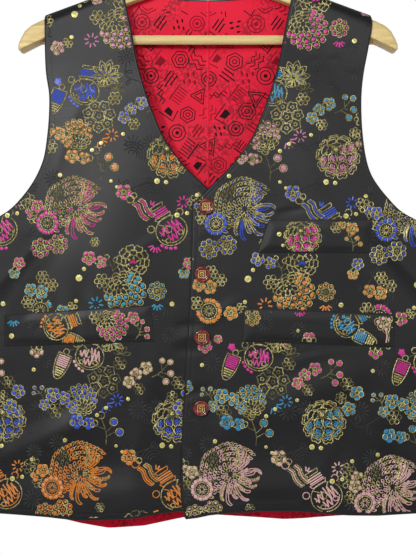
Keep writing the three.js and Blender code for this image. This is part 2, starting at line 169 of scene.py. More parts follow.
WELTS = {
    "chest_welt": (1, [(66, 343.5), (175, 343), (172, 378), (54, 377.5)]),
    "left_pocket_welt": (1, [(38.8, 437.5), (200, 444.5), (200, 478.6), (38.2, 472.2)]),
    "right_pocket_welt": (-1, [(-219, 445), (-61.8, 435), (-57.5, 472.2), (-219, 478)]),
}
BUTTONS = ((-1.9, 328.6), (-6.3, 400.7), (-6.4, 468.1), (-7.5, 543.6))
BUTTON_RADIUS = 8.5
BUTTON_HEIGHT = 4.2
BUTTON_SEAT = 0.4


def columns(*values):
    return np.stack(values, -1)


def circle(count):
    """That many angles, once around."""
    return np.linspace(0, 2 * math.pi, count, endpoint=False)


# Shape of the cloth
def smooth(v):
    v = np.clip(v, 0, 1)
    return v * v * (3 - 2 * v)


def curve_through(across, drop):
    """A smooth curve through the points, walked by its length from 0 to 1."""
    knots = np.array([across, drop], float).T
    ends = np.vstack([knots[:1], knots, knots[-1:]])
    s = np.linspace(0, 1, 60, endpoint=False)[:, None]
    spans = []
    for a, b, c, d in zip(ends, ends[1:], ends[2:], ends[3:]):
        cubic = 2 * b + (c - a) * s + (2 * a - 5 * b + 4 * c - d) * s**2
        spans.append((cubic + (3 * b - a - 3 * c + d) * s**3) / 2)
    path = np.vstack(spans + [knots[-1:]])
    run = np.r_[0, np.cumsum(np.linalg.norm(np.diff(path, axis=0), axis=1))]
    run /= run[-1]
    return lambda t: (np.interp(t, run, path[:, 0]), np.interp(t, run, path[:, 1]))


neck_edge = curve_through(NECK_EDGE["half"], NECK_EDGE["drop"])
armhole = {side: curve_through(halves, ARMHOLE_DROPS) for side, halves in ARMHOLE.items()}
side_seam = curve_through(SIDE_SEAM["half"], SIDE_SEAM["drop"])
lap_edge = curve_through(LAP_EDGE["x"], LAP_EDGE["drop"])


def rise_of(folds, x, drop):
    rise = np.zeros(np.shape(x))
    for fx, fdrop, tilt, length, width, height in folds:
        tilt = math.radians(tilt)
        along = (x - fx) * math.sin(tilt) - (drop - fdrop) * math.cos(tilt)
        across = (x - fx) * math.cos(tilt) + (drop - fdrop) * math.sin(tilt)
        rise += height * np.exp(-((across / width) ** 2) - (along / length) ** 4)
    return rise


def ridge_drop(x):
    return np.interp(np.abs(x), RIDGE["half"], RIDGE["drop"])


def side_inset(x, drop):
    return np.interp(drop, SIDE_SEAM["drop"], SIDE_SEAM["half"]) - np.abs(x)


def quarter_round(share):
    return np.sqrt(1 - (1 - np.clip(share, 0, 1)) ** 2)


def depth_at(x, drop, full):
    """Distance from the centre plane to the outside of the cloth."""
    below = np.maximum(0, drop - ridge_drop(x))
    arm = np.interp(np.abs(x), ARM["half"], ARM["thick"]) / 2 + SKIN_OVER_WOOD
    inset = side_inset(x, drop)
    turn = SIDE_FOLD_RADIUS * quarter_round(inset / SIDE_FOLD_RADIUS)
    swell = smooth((inset - 0.6 * SIDE_FOLD_RADIUS) / SIDE_FILL)
    body = turn + (full - SIDE_FOLD_RADIUS) * swell
    share = smooth((below - ARM_REACH) / ARM_FADE)
    return quarter_round(below / arm) * (arm + (body - arm) * share)


def fold_share(x, drop):
    return smooth((drop - ridge_drop(x) - 30) / 60) * smooth(side_inset(x, drop) / 40)


def front_y(x, drop, side):
    lapped = smooth(1 - (side * x - LAP_FROM) / LAP_FADE) * smooth((drop - LAP_TOP) / LAP_EASE)
    depth = depth_at(x, drop, FRONT_DEPTH) + side * LAP_SHIFT * lapped
    rise = rise_of(FRONT_FOLDS + FRONT_CREASES, x, drop)
    return -SEAM_GAP / 2 - depth - fold_share(x, drop) * rise


def back_y(x, drop):
    rise = rise_of(BACK_FOLDS + BACK_CREASES, x, drop)
    return SEAM_GAP / 2 + depth_at(x, drop, BACK_DEPTH) + fold_share(x, drop) * rise


def lifted(surface, x, drop, lift, facing=-1):
    """Points on the surface y = surface(x, drop), moved out along its normal."""
    step = 0.5
    y = surface(x, drop)
    slope_x = (surface(x + step, drop) - surface(x - step, drop)) / (2 * step)
    slope_drop = (surface(x, drop + step) - surface(x, drop - step)) / (2 * step)
    share = lift / np.sqrt(1 + slope_x**2 + slope_drop**2)
    return np.stack([
        x - facing * slope_x * share, y + facing * share, -drop + facing * slope_drop * share
    ], -1)


def hem_drop(side, x):
    return np.interp(x, HEMS[side]["x"], HEMS[side]["drop"])


def front_plan(side, v, t):
    """x and drop of a front. v is 0 at the shoulder, 1 at the underarm and 2 at the hem."""
    v, t = v[:, None], t[None, :]
    up, low = np.clip(v, 0, 1), np.clip(v - 1, 0, 1)
    half, inner_drop = neck_edge(up)
    inner_x = side * half
    if side > 0:
        lap_x, lap_drop = lap_edge(low)
    else:
        lap_x = -NECK_EDGE["half"][-1] * (1 - low) + UNDERLAP * low
        lap_drop = LAP_CORNER_DROP * (1 - low) + hem_drop(side, UNDERLAP) * low
    inner_x, inner_drop = np.where(v <= 1, inner_x, lap_x), np.where(v <= 1, inner_drop, lap_drop)
    arm_x, arm_drop = armhole[side](up)
    seam_x, seam_drop = side_seam(low)
    outer_x, outer_drop = np.where(v <= 1, arm_x, seam_x), np.where(v <= 1, arm_drop, seam_drop)
    x = inner_x + (side * outer_x - inner_x) * t
    drop = inner_drop + (outer_drop - inner_drop) * t
    straight = inner_drop[-1] + (outer_drop[-1] - inner_drop[-1]) * t
    return x, drop + low**3 * (hem_drop(side, x) - straight)


def back_top(x):
    in_neck = BACK_NECK_DROP + (RIDGE["drop"][4] - BACK_NECK_DROP) * (x / NECK_HALF) ** 2.2
    return np.where(x < NECK_HALF, in_neck, ridge_drop(x))


def back_plan(v, t):
    v, t = v[:, None], t[None, :]
    up, low = np.clip(v, 0, 1), np.clip(v - 1, 0, 1)
    share = np.abs(t)
    (lx, ldrop), (rx, rdrop), (seam_x, seam_drop) = armhole[-1](up), armhole[1](up), side_seam(low)
    arm_x, arm_drop = np.where(t < 0, lx, rx), np.where(t < 0, ldrop, rdrop)
    x = np.sign(t) * share * np.where(v <= 1, arm_x, seam_x)
    middle = BACK_NECK_DROP + (UNDERARM_DROP - BACK_NECK_DROP) * up
    straight_top = BACK_NECK_DROP + (SHOULDER_DROP - BACK_NECK_DROP) * share
    upper = middle + (arm_drop - middle) * share
    upper = upper + (1 - up) * (back_top(share * SHOULDER_HALF) - straight_top)
    hem_shift = np.interp(x, HEM_BACK["x"], HEM_BACK["drop"]) - SIDE_SEAM["drop"][-1]
    return x, np.where(v <= 1, upper, seam_drop + low**2 * hem_shift)


# Materials
def srgb(r, g, b):
    """A colour given as 0 to 255 on a screen."""
    return [((c / 255 + 0.055) / 1.055) ** 2.4 if c > 10 else c / 3300 for c in (r, g, b)] + [1.0]


WHITE, BLACK = srgb(255, 255, 255), srgb(0, 0, 0)


def feed(tree, socket, item):
    """Gives a socket a value, or links it to the output that supplies one."""
    if isinstance(item, bpy.types.NodeSocket):
        tree.links.new(item, socket)
    else:
        socket.default_value = item


def mapped(tree, value, **ends):
    """The value, mapped between ranges; each end is named as on the node."""
    node = tree.nodes.new("ShaderNodeMapRange")
    feed(tree, node.inputs["Value"], value)
    for end, item in ends.items():
        feed(tree, node.inputs[end.replace("_", " ")], item)
    return node.outputs["Result"]


class Paint:
    """A node material with a few short ways to add detail."""

    def __init__(self, name, roughness, **sockets):
        self.material = bpy.data.materials.new(name)
        self.material.use_nodes = True
        self.tree = self.material.node_tree
        self.nodes, self.links = self.tree.nodes, self.tree.links
        self.shader = self.nodes["Principled BSDF"]
        self.shader.inputs["Roughness"].default_value = roughness
        for socket, value in sockets.items():
            self.shader.inputs[socket.replace("_", " ")].default_value = value
        self.place = self.nodes.new("ShaderNodeTexCoord").outputs["Object"]
        self.height = None

    def noise(self, per_mm, detail=3.0, roughness=0.55):
        """Noise with that many features for each millimetre, or that many along x, y and z."""
        mapping = self.nodes.new("ShaderNodeMapping")
        mapping.inputs["Scale"].default_value = np.broadcast_to(per_mm, 3) / MM
        noise = self.nodes.new("ShaderNodeTexNoise")
        noise.inputs["Scale"].default_value = 1.0
        noise.inputs["Detail"].default_value = detail
        noise.inputs["Roughness"].default_value = roughness
        self.links.new(self.place, mapping.inputs["Vector"])
        self.links.new(mapping.outputs["Vector"], noise.inputs["Vector"])
        return noise.outputs["Fac"]

    def ramp(self, value, *stops):
        """Colours by value: each stop is (value, colour)."""
        ramp = self.nodes.new("ShaderNodeValToRGB")
        while len(ramp.color_ramp.elements) < len(stops):
            ramp.color_ramp.elements.new(0.5)
        for element, (at, colour) in zip(ramp.color_ramp.elements, stops):
            element.position = at
            element.color = colour
        self.links.new(value, ramp.inputs["Fac"])
        return ramp.outputs["Color"]

    def mixed(self, value, a, b):
        """Colour a where the value is 0 and b where it is 1."""
        mix = self.nodes.new("ShaderNodeMix")
        mix.data_type = "RGBA"
        feed(self.tree, mix.inputs["Factor"], value)
        for socket, colour in zip(mix.inputs[6:8], (a, b)):
            feed(self.tree, socket, colour)
        return mix.outputs[2]

    def colour(self, output):
        self.links.new(output, self.shader.inputs["Base Color"])

    def rough(self, value, low, high):
        self.links.new(mapped(self.tree, value, To_Min=low, To_Max=high), self.shader.inputs["Roughness"])

    def bump(self, value, height_mm, strength=0.6):
        bump = self.nodes.new("ShaderNodeBump")
        bump.inputs["Strength"].default_value = strength
        bump.inputs["Distance"].default_value = height_mm * MM
        self.links.new(value, bump.inputs["Height"])
        if self.height is not None:
            self.links.new(self.height, bump.inputs["Normal"])
        self.height = bump.outputs["Normal"]
        self.links.new(self.height, self.shader.inputs["Normal"])


def satin(name, dark, light, roughness):
    """Satin cloth: fine floats one way, faint slubs and a soft bloom."""
    paint = Paint(name, roughness, Sheen_Weight=0.02, Sheen_Roughness=0.4, Specular_IOR_Level=0.26)
    paint.shader.inputs["Sheen Tint"].default_value = srgb(150, 150, 160)
    bloom = paint.noise((0.016, 0.02, 0.011), 4.0)
    slub = paint.noise((0.05, 0.05, 0.8), 3.0)
    base = paint.ramp(bloom, (0.3, dark), (0.72, light))
    paint.colour(paint.mixed(0.5, base, paint.ramp(slub, (0.3, dark), (0.75, light))))
    floats = paint.noise((3.4, 1.0, 0.5), 1.0)
    paint.bump(floats, 0.06, 0.5)
    paint.bump(paint.noise((0.4, 0.4, 2.6), 2.0), 0.05, 0.35)
    paint.rough(slub, roughness - 0.05, roughness + 0.06)
    return paint.material


def lining_cloth(name):
    """Crimson lining with darker mottled damask patches."""
    paint = Paint(name, 0.5, Specular_IOR_Level=0.15)
    bright, deep = srgb(216, 3, 48), srgb(152, 1, 32)
    patches = paint.ramp(paint.noise((0.02, 0.02, 0.022), 1.5), (0.46, BLACK), (0.54, WHITE))
    speckle = paint.ramp(paint.noise((0.34, 0.34, 0.3), 2.0), (0.44, bright), (0.56, deep))
    plain = paint.mixed(paint.noise(0.01), bright, srgb(200, 2, 42))
    paint.colour(paint.mixed(patches, plain, speckle))
    paint.bump(paint.noise((3.2, 1.0, 0.6), 1.0), 0.05, 0.4)
    paint.bump(paint.noise((0.34, 0.34, 0.3), 2.0), 0.06, 0.25)
    return paint.material


def gold_thread(name, dull, middle, bright, speck):
    """Wrapped gold thread: bright and dull lengths and dark specks, which paint the glints of the metal, and
    a fine twist.
    """
    paint = Paint(name, 0.42, Metallic=0.3, Specular_IOR_Level=0.5)
    # painted glints: the thread's colour runs from dull to bright and takes dark specks
    glint_noise = paint.noise(0.12, 3.0, 0.7)
    glint_colour = paint.ramp(glint_noise, (0.34, dull), (0.48, middle), (0.66, bright))
    spots = paint.ramp(paint.noise((1.1, 1.1, 1.5), 1.0), (0.42, WHITE), (0.56, BLACK))
    paint.colour(paint.mixed(spots, glint_colour, speck))
    paint.bump(paint.noise(2.2, 1.0), 0.12, 0.6)
    return paint.material


def silk(name, colour, roughness=0.4):
    """Coloured floats of silk, laid side by side."""
    paint = Paint(name, roughness, Sheen_Weight=0.2)
    shade = [c * 0.62 for c in colour[:3]] + [1.0]
    paint.colour(paint.ramp(paint.noise((0.5, 0.5, 2.4), 2.0), (0.3, shade), (0.6, colour)))
    paint.bump(paint.noise((0.6, 0.6, 3.2), 1.0), 0.1, 0.5)
    return paint.material


def printed(name, colour):
    """Ink soaked into the cloth, a little uneven."""
    paint = Paint(name, 0.6, Specular_IOR_Level=0.1)
    thin = [0.75 * c for c in colour[:3]] + [1.0]
    paint.colour(paint.ramp(paint.noise(0.6), (0.35, thin), (0.6, colour)))
    return paint.material


def button_resin(name):
    paint = Paint(name, 0.14, Coat_Weight=0.4, Coat_Roughness=0.05)
    swirl = paint.noise((0.16, 0.16, 0.2), 3.0)
    paint.colour(paint.ramp(swirl, (0.35, srgb(46, 1, 3)), (0.6, srgb(116, 4, 9))))
    paint.rough(paint.noise(0.8), 0.12, 0.24)
    return paint.material


def button_gold(name):
    paint = Paint(name, 0.32, Metallic=0.5)
    dark, bright = srgb(190, 150, 66), srgb(240, 216, 140)
    paint.colour(paint.ramp(paint.noise(0.5), (0.3, dark), (0.65, bright)))
    return paint.material


def pale_wood(name):
    paint = Paint(name, 0.5, Specular_IOR_Level=0.22)
    grain = paint.noise((0.012, 0.5, 0.42), 4.0, 0.6)
    tones = (0.3, srgb(186, 160, 100)), (0.5, srgb(204, 182, 126)), (0.7, srgb(216, 198, 148))
    paint.colour(paint.ramp(grain, *tones))
    paint.bump(paint.noise((0.02, 1.6, 1.4), 2.0), 0.05, 0.25)
    paint.rough(grain, 0.46, 0.58)
    return paint.material


def plated_steel(name):
    paint = Paint(name, 0.22, Metallic=1.0)
    dull, bright = srgb(176, 176, 178), srgb(214, 214, 216)
    paint.colour(paint.ramp(paint.noise(0.3), (0.3, dull), (0.7, bright)))
    paint.rough(paint.noise((1.2, 1.2, 0.2)), 0.16, 0.3)
    return paint.material


BROCADE = satin("brocade_ground", srgb(12, 12, 14), srgb(27, 27, 30), 0.43)
BACK_SATIN = satin("back_satin", srgb(11, 11, 13), srgb(24, 24, 27), 0.38)
LINING = lining_cloth("crimson_lining")
RESIN = button_resin("button_resin")
BUTTON_GOLD = button_gold("button_gold")
WOOD = pale_wood("beech")
STEEL = plated_steel("plated_wire")
# Gold threads: name, then the dull, middle and bright lengths and the specks, which paint the thread's
# glints
GOLD_THREADS = {
    "gold": ("gold_thread", (128, 116, 62), (196, 184, 112), (234, 224, 156), (84, 74, 42)),
    "olive": ("olive_thread", (66, 62, 34), (112, 106, 62), (156, 148, 92), (48, 44, 26)),
    "pale_gold": ("pale_gold", (190, 180, 104), (214, 205, 124), (228, 222, 146), (150, 140, 76)),
}
SILKS = {
    "magenta": (196, 14, 134),
    "pink": (186, 112, 146),
    "blush": (206, 160, 156),
    "blue": (24, 66, 182),
    "cyan": (16, 122, 162),
    "turquoise": (18, 134, 166),
    "orange": (206, 120, 18),
}
THREADS = {"black": silk("black_silk", srgb(6, 6, 7), 0.62)}
for key, (name, *tones) in GOLD_THREADS.items():
    THREADS[key] = gold_thread(name, *(srgb(*tone) for tone in tones))
for key, colour in SILKS.items():
    THREADS[key] = silk(key + "_silk", srgb(*colour))
PRINT = printed("lining_print", srgb(24, 2, 7))
DARK_RED_PRINT = printed("lining_print_red", srgb(128, 1, 24))


# Meshes
SHARP_ANGLE = math.radians(42)
EDGE_ROUND = 1.6
EDGE_THINNING = 0.32
EDGE_BULGE = 0.3


def new_object(name, data):
    thing = bpy.data.objects.new(name, data)
    bpy.context.scene.collection.objects.link(thing)
    return thing


def add_piece(name, points, faces, materials, index=None, closed=True, flat=()):
    """A new smooth piece from points in millimetres, riding on the body.

    index gives each face's material, and flat names the faces that aren't smoothed. A closed
    piece has its faces turned outwards.
    """
    mesh = bpy.data.meshes.new(name)
    mesh.from_pydata((np.asarray(points) * MM).tolist(), [], faces)
    for material in materials:
        mesh.materials.append(material)
    if index is not None:
        mesh.polygons.foreach_set("material_index", np.asarray(index, np.int32))
    smoothed = np.ones(len(mesh.polygons), bool)
    smoothed[list(flat)] = False
    mesh.polygons.foreach_set("use_smooth", smoothed)
    mesh.set_sharp_from_angle(angle=SHARP_ANGLE)
    if closed:
        work = bmesh.new()
        work.from_mesh(mesh)
        bmesh.ops.recalc_face_normals(work, faces=work.faces)
        work.to_mesh(mesh)
        work.free()
    mesh.update()
    piece = new_object(name, mesh)
    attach(piece, BODY)
    return piece


def grid_faces(rows, cols, flip=False, first=0):
    a = (np.arange(rows - 1)[:, None] * cols + np.arange(cols - 1)[None, :]).ravel() + first
    quads = columns(a, a + 1, a + cols + 1, a + cols)
    return quads[:, ::-1] if flip else quads


def border_of(rows, cols):
    top = np.arange(cols)
    right = np.arange(1, rows) * cols + cols - 1
    bottom = (rows - 1) * cols + np.arange(cols - 2, -1, -1)
    left = np.arange(rows - 2, 0, -1) * cols
    return np.concatenate([top, right, bottom, left])


def normals_of(points, facing):
    down, along = np.gradient(points, axis=0), np.gradient(points, axis=1)
    normal = np.cross(along, down)
    normal /= np.linalg.norm(normal, axis=-1, keepdims=True) + 1e-9
    return normal * facing * np.sign(normal[..., 1].mean())


def shell(node, points, facing, outer, inner, edge, materials):
    """A closed cloth wall between two offsets of a grid of points, in place of a node.

    edge is each point's distance to the nearest cut edge, where the wall is rounded. The
    materials are the outside's, the inside's and the rim's.
    """
    normal = normals_of(points, facing)
    soft = (1 - np.clip(edge / EDGE_ROUND, 0, 1))[..., None] ** 2
    outer, inner = (np.broadcast_to(offset, edge.shape)[..., None] for offset in (outer, inner))
    thick = outer - inner
    layers = []
    for offset in (outer - EDGE_THINNING * thick * soft, inner + EDGE_THINNING * thick * soft):
        layer = points + normal * offset
        layer[..., 1] = facing * np.maximum(facing * layer[..., 1], SEAM_GAP / 2)
        layers.append(layer.reshape(-1, 3))
    rows, cols = points.shape[:2]
    count = rows * cols
    middle = (layers[0] + layers[1]) / 2
    border = border_of(rows, cols)
    outward = np.zeros((count, 3))
    outward[border] = points.reshape(-1, 3)[border] - inside_neighbours(points, border)
    outward /= np.linalg.norm(outward, axis=1, keepdims=True) + 1e-9
    bulge = EDGE_BULGE * (thick * soft).reshape(-1, 1)
    rim = middle[border] + (outward * bulge)[border]
    rim[:, 1] = facing * np.maximum(facing * rim[:, 1], SEAM_GAP / 2)
    ring = np.arange(len(border))
    after = (ring + 1) % len(border)
    mid, next_mid = 2 * count + ring, 2 * count + after
    upper = columns(border, border[after], next_mid, mid)
    lower = columns(mid, next_mid, border[after] + count, border + count)
    parts = [grid_faces(rows, cols), grid_faces(rows, cols, True, count), upper[:, ::-1], lower[:, ::-1]]
    index = np.repeat([0, 1, 2, 2], [len(part) for part in parts])
    points = np.vstack(layers + [rim])
    cloth = add_piece(node + "_cloth", points, np.vstack(parts).tolist(), materials, index)
    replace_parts(cloth, node)
    return cloth


def inside_neighbours(points, border):
    """For each border point, the nearest point of the grid that isn't on the border."""
    rows, cols = points.shape[:2]
    r, c = np.clip(border // cols, 1, rows - 2), np.clip(border % cols, 1, cols - 2)
    return points[r, c]


def rod_rings(path, radius, sides):
    """Rings of points around a path. The radius is one number, or one for each ring."""
    radii = np.broadcast_to(radius, len(path))
    tangent = np.gradient(path, axis=0)
    tangent /= np.linalg.norm(tangent, axis=1, keepdims=True)
    side = np.cross(tangent, (0.0, 1.0, 0.0))
    side /= np.linalg.norm(side, axis=1, keepdims=True)
    up = np.cross(side, tangent)
    angle = circle(sides)
    ring = np.cos(angle)[None, :, None] * side[:, None] + np.sin(angle)[None, :, None] * up[:, None]
    return path[:, None] + ring * radii[:, None, None]


def prism_faces(rows, count, first=0):
    """Faces between rings of points, then one that closes each end."""
    k = np.arange(count) + first
    after = np.roll(k, -1)
    faces = []
    for row in range(0, (rows - 1) * count, count):
        faces += columns(row + k, row + count + k, row + count + after, row + after).tolist()
    return faces + [k.tolist(), ((rows - 1) * count + k[::-1]).tolist()]


def loft(name, rings, material):
    """A closed solid through rings of points in millimetres, with flat ends."""
    faces = prism_faces(*rings.shape[:2])
    ends = (len(faces) - 2, len(faces) - 1)
    return add_piece(name, rings.reshape(-1, 3), faces, (material,), flat=ends)


# Threads laid on the cloth
THREAD_WIDTH = 0.95
BAND_WIDTH = 1.5
THREAD_RISE = 0.3
THREAD_BED = 0.07
FILL_RISE = 0.2
FILL_TOP = 0.55
THREAD_STEP = 1.5


def run_of(path):
    """Length of the path up to each of its points."""
    return np.r_[0, np.cumsum(np.hypot(*np.diff(path, axis=0).T))]


def points_along(path, run, at):
    return columns(np.interp(at, run, path[:, 0]), np.interp(at, run, path[:, 1]))


def resampled(points, closed):
    points = np.asarray(points, float)
    if closed:
        points = np.vstack([points, points[:1]])
    run = run_of(points)
    count = max(3, int(math.ceil(run[-1] / THREAD_STEP)) + 1)
    return points_along(points, run, np.linspace(0, run[-1], count))


class Embroidery:
    """Raised threads and filled petals on one piece of cloth, joined into one mesh.

    base is how far the ground lies off the surface. grow is the height of the threads, as a
    share of the usual one, and negative on an inner face.
    """

    def __init__(self, surface, inside, base=0.0, grow=1.0, facing=-1, width=THREAD_WIDTH):
        self.surface, self.inside, self.base, self.grow = surface, inside, base, grow
        self.facing, self.width = facing, width
        self.plan, self.faces, self.colours, self.count = [], [], [], 0
        self.covers, self.near = [], []

    def shows(self, xy):
        """Whether each point lies on the cloth and outside the motifs that are in front."""
        kept = self.inside(xy[:, 0], xy[:, 1])
        for x, drop, radius in self.near:
            kept &= np.hypot(xy[:, 0] - x, xy[:, 1] - drop) > radius
        return kept

    def add(self, xy, lift, faces, colour):
        self.plan.append(np.column_stack([xy, lift]))
        self.faces.append(np.asarray(faces) + self.count)
        self.colours += [colour] * len(faces)
        self.count += len(xy)

    def line(self, points, colour, closed, width):
        points = resampled(points, closed)
        kept = self.shows(points)
        breaks = np.flatnonzero(np.diff(np.r_[0, kept.astype(int), 0]))
        for start, stop in zip(breaks[::2], breaks[1::2]):
            if stop - start >= 2:
                self.ribbon(points[start:stop], colour, width)

    def ribbon(self, points, colour, width):
        along = np.gradient(points, axis=0)
        along /= np.hypot(*along.T)[:, None] + 1e-9
        across = columns(-along[:, 1], along[:, 0]) * width / 2
        xy = np.stack([points - across, points, points + across], 1).reshape(-1, 2)
        lift = np.tile([THREAD_BED, THREAD_BED + THREAD_RISE, THREAD_BED], len(points))
        self.add(xy, lift, grid_faces(len(points), 3), colour)

    def fill(self, outline, colour):
        outline = np.asarray(outline, float)
        if not self.shows(outline).all():
            return
        after = np.roll(outline, -1, axis=0)
        if (outline[:, 0] * after[:, 1] - after[:, 0] * outline[:, 1]).sum() > 0:
            outline = outline[::-1]
        centre = outline.mean(axis=0)
        count = len(outline)
        xy = np.vstack([outline, centre + FILL_TOP * (outline - centre), centre])
        lift = np.r_[np.full(count, THREAD_BED), np.full(count + 1, THREAD_BED + FILL_RISE)]
        k = np.arange(count)
        n = (k + 1) % count
        slope = columns(k, n, n + count, k + count)
        top = columns(k + count, n + count, np.full(count, 2 * count), k + count)
        self.add(xy, lift, np.vstack([slope, top]), colour)

    def motif(self, kind, x, drop, size, turn, accent, tint=()):
        """Places a motif drawn with radius 1, behind those placed before it.

        tint changes some of the gold: a colour, and which parts in so many keep the gold.
        """
        self.near = [c for c in self.covers if math.hypot(x - c[0], drop - c[1]) < 1.4 * size + c[2]]
        turn = math.radians(turn)
        spin = np.array([[math.cos(turn), math.sin(turn)], [-math.sin(turn), math.cos(turn)]]) * size
        for number, (role, style, points) in enumerate(MOTIFS[kind]):
            colour = accent if role == "accent" else role
            if tint and role == "gold" and number % tint[1]:
                colour = tint[0]
            placed = np.asarray(points) @ spin + (x, drop)
            if style == "fill":
                self.fill(placed, colour)
            else:
                self.line(placed, colour, style == "loop", BAND_WIDTH if style == "band" else self.width)
        if kind in ROUND_MOTIFS:
            self.covers.append((x, drop, ROUND_MOTIFS[kind] * size))

    def build(self, name, colours):
        plan = np.vstack(self.plan)
        lift = self.base + self.grow * plan[:, 2]
        points = lifted(self.surface, plan[:, 0], plan[:, 1], lift, self.facing)
        faces = [[a, b, c] if d == a else [a, b, c, d] for a, b, c, d in np.vstack(self.faces).tolist()]
        used = sorted(set(self.colours))
        index = [used.index(colour) for colour in self.colours]
        return add_piece(name, points, faces, [colours[colour] for colour in used], index, False)


# Motifs, drawn with radius 1; y runs down the cloth
def disc(x, y, radius, sides=8):
    angle = circle(sides)
    return columns(x + radius * np.cos(angle), y + radius * np.sin(angle))


def oval(angle, distance, across, along, sides=8, centre=(0, 0)):
    """An oval at that distance from the centre, set across the radius."""
    turn = circle(sides)
    out = distance + along * np.cos(turn)
    aside = across * np.sin(turn)
    x = out * math.cos(angle) - aside * math.sin(angle)
    y = out * math.sin(angle) + aside * math.cos(angle)
    return columns(x, y) + centre


def line(points, role="gold"):
    return role, "line", points


def loop(points, role="gold"):
    return role, "loop", points


def fill(points, role="accent"):
    return role, "fill", points


def band(points, role="accent"):
    return role, "band", points


def around(count, first=0.0, spread=2 * math.pi):
    """Evenly spaced angles."""
    return [first + k * spread / count for k in range(count)]


def spoke(angle, start, end, centre=(0, 0)):
    return np.array([polar(start, angle), polar(end, angle)]) + centre


def polar(radius, angle):
    return radius * math.cos(angle), radius * math.sin(angle)


def petal(angle, start, length, width, widest=0.62, turns=5, centre=(0, 0), bend=0.0):
    """Outline of a petal that points away from the centre."""
    u = np.linspace(0, 1, turns + 1)
    bulge = np.sin(math.pi * u ** (math.log(0.5) / math.log(widest)))
    bulge = np.maximum(bulge, 0) ** 0.75 * width / 2
    axis = angle + bend * u**3
    spine = columns((start + length * u) * np.cos(axis), (start + length * u) * np.sin(axis))
    across = columns(-np.sin(axis), np.cos(axis)) * bulge[:, None]
    return np.vstack([spine + across, (spine - across)[-2:0:-1]]) + centre


def leaning(angle, share, heart):
    """A point that share of the way from an off-centre heart to the rim."""
    rim = columns(np.cos(angle), np.sin(angle))
    return np.asarray(heart) + (rim - heart) * np.asarray(share)[..., None]


def ruffle(angle, half, inner, outer, heart, lobes=3):
    """Outline of a wide petal with a ruffled rim, leaning on an off-centre heart."""
    u = np.linspace(-1, 1, 4 * lobes + 1)
    rim = outer * (1 - 0.16 * u**4) + 0.06 * (np.abs(np.sin(lobes * math.pi * (u + 1) / 2)) - 0.5)
    edge = leaning(angle + half * u, rim, heart)
    foot = leaning(angle + half * np.array([0.55, -0.55]), np.full(2, inner), heart)
    return np.vstack([edge, foot])


def cup(angle, half, inner, outer, heart, lobes=3):
    """The same petal with its foot left open."""
    outline = ruffle(angle, half, inner, outer, heart, lobes)
    return np.vstack([outline[-1:], outline[:-1]])


def wavy(x, y, radius, turn=0.0):
    """A ring with five lobes."""
    angle = circle(20)
    radius = radius * (1 + 0.18 * np.cos(5 * angle))
    return columns(x + radius * np.cos(angle + turn), y + radius * np.sin(angle + turn))


def rays(angles, start, end, role="gold", centre=(0, 0), style=line):
    return [style(spoke(a, start, end, centre), role) for a in angles]


def blossom():
    parts = []
    for a in around(5, 0.3):
        parts += [loop(oval(a, 0.62, 0.4, 0.34)), fill(oval(a, 0.68, 0.3, 0.22))]
    return parts + [loop(disc(0, 0, 0.22, 6))]


def open_blossom():
    petals = [loop(oval(a, 0.66, 0.32, 0.3)) for a in around(6, 1.0)]
    return petals + [loop(disc(0, 0, 0.26, 7))]


def sunflower():
    parts = []
    for a in around(11):
        parts += [fill(oval(a, 0.83, 0.2, 0.17, 7)), line(spoke(a + 0.286, 0.64, 1.0))]
    return parts + [loop(disc(0, 0, 0.6, 14))] + rays(around(12), 0.14, 0.44)


def scalloped():
    parts = []
    for a in around(8):
        parts += [loop(oval(a, 0.74, 0.29, 0.26)), fill(oval(a, 0.78, 0.14, 0.11, 6))]
    return parts + [loop(disc(0, 0, 0.42, 10))] + rays(around(6), 0.08, 0.28)


def pompom():
    """A round mum of small cupped petals, the lower right ones coloured."""
    heart = (-0.24, -0.3)
    parts = []
    for row, (share, count) in enumerate(((0.26, 6), (0.48, 9), (0.7, 12), (0.92, 14))):
        half = 1.05 * math.pi / count
        for a in around(count, 0.5 * row):
            parts.append(line(cup(a, half, share - 0.14, share + 0.07, heart, 1)))
            if row > 0 and math.cos(a - 0.8) > 0.1 - 0.25 * row:
                spot = leaning(np.array([a]), np.array([share - 0.03]), heart)[0]
                parts.append(fill(oval(a, 0, 0.5 * half * share, 0.085, 7, spot)))
    return parts


def hook_spine(angle, start, reach, way):
    """A petal's middle line: straight out, then curled over at the tip."""
    u = np.linspace(0, 1, 12)
    heading = angle + way * (0.5 * u + 1.3 * np.clip((u - 0.6) / 0.4, 0, 1))
    steps = columns(np.cos(heading), np.sin(heading)) * reach * 1.15 / 11
    first = np.array([polar(start, angle)])
    return np.vstack([first, first + np.cumsum(steps[:-1], axis=0)])


def hairpin(spine, half):
    """Outline of a thin petal along a curve, wider and rounded at its tip."""
    u = np.linspace(0, 1, len(spine))[:, None]
    ahead = np.gradient(spine, axis=0)
    ahead /= np.hypot(*ahead.T)[:, None]
    aside = columns(-ahead[:, 1], ahead[:, 0]) * half * (0.4 + 0.6 * u) * np.sqrt(1 - u**6)
    return np.vstack([spine + aside, (spine - aside)[-2::-1]])


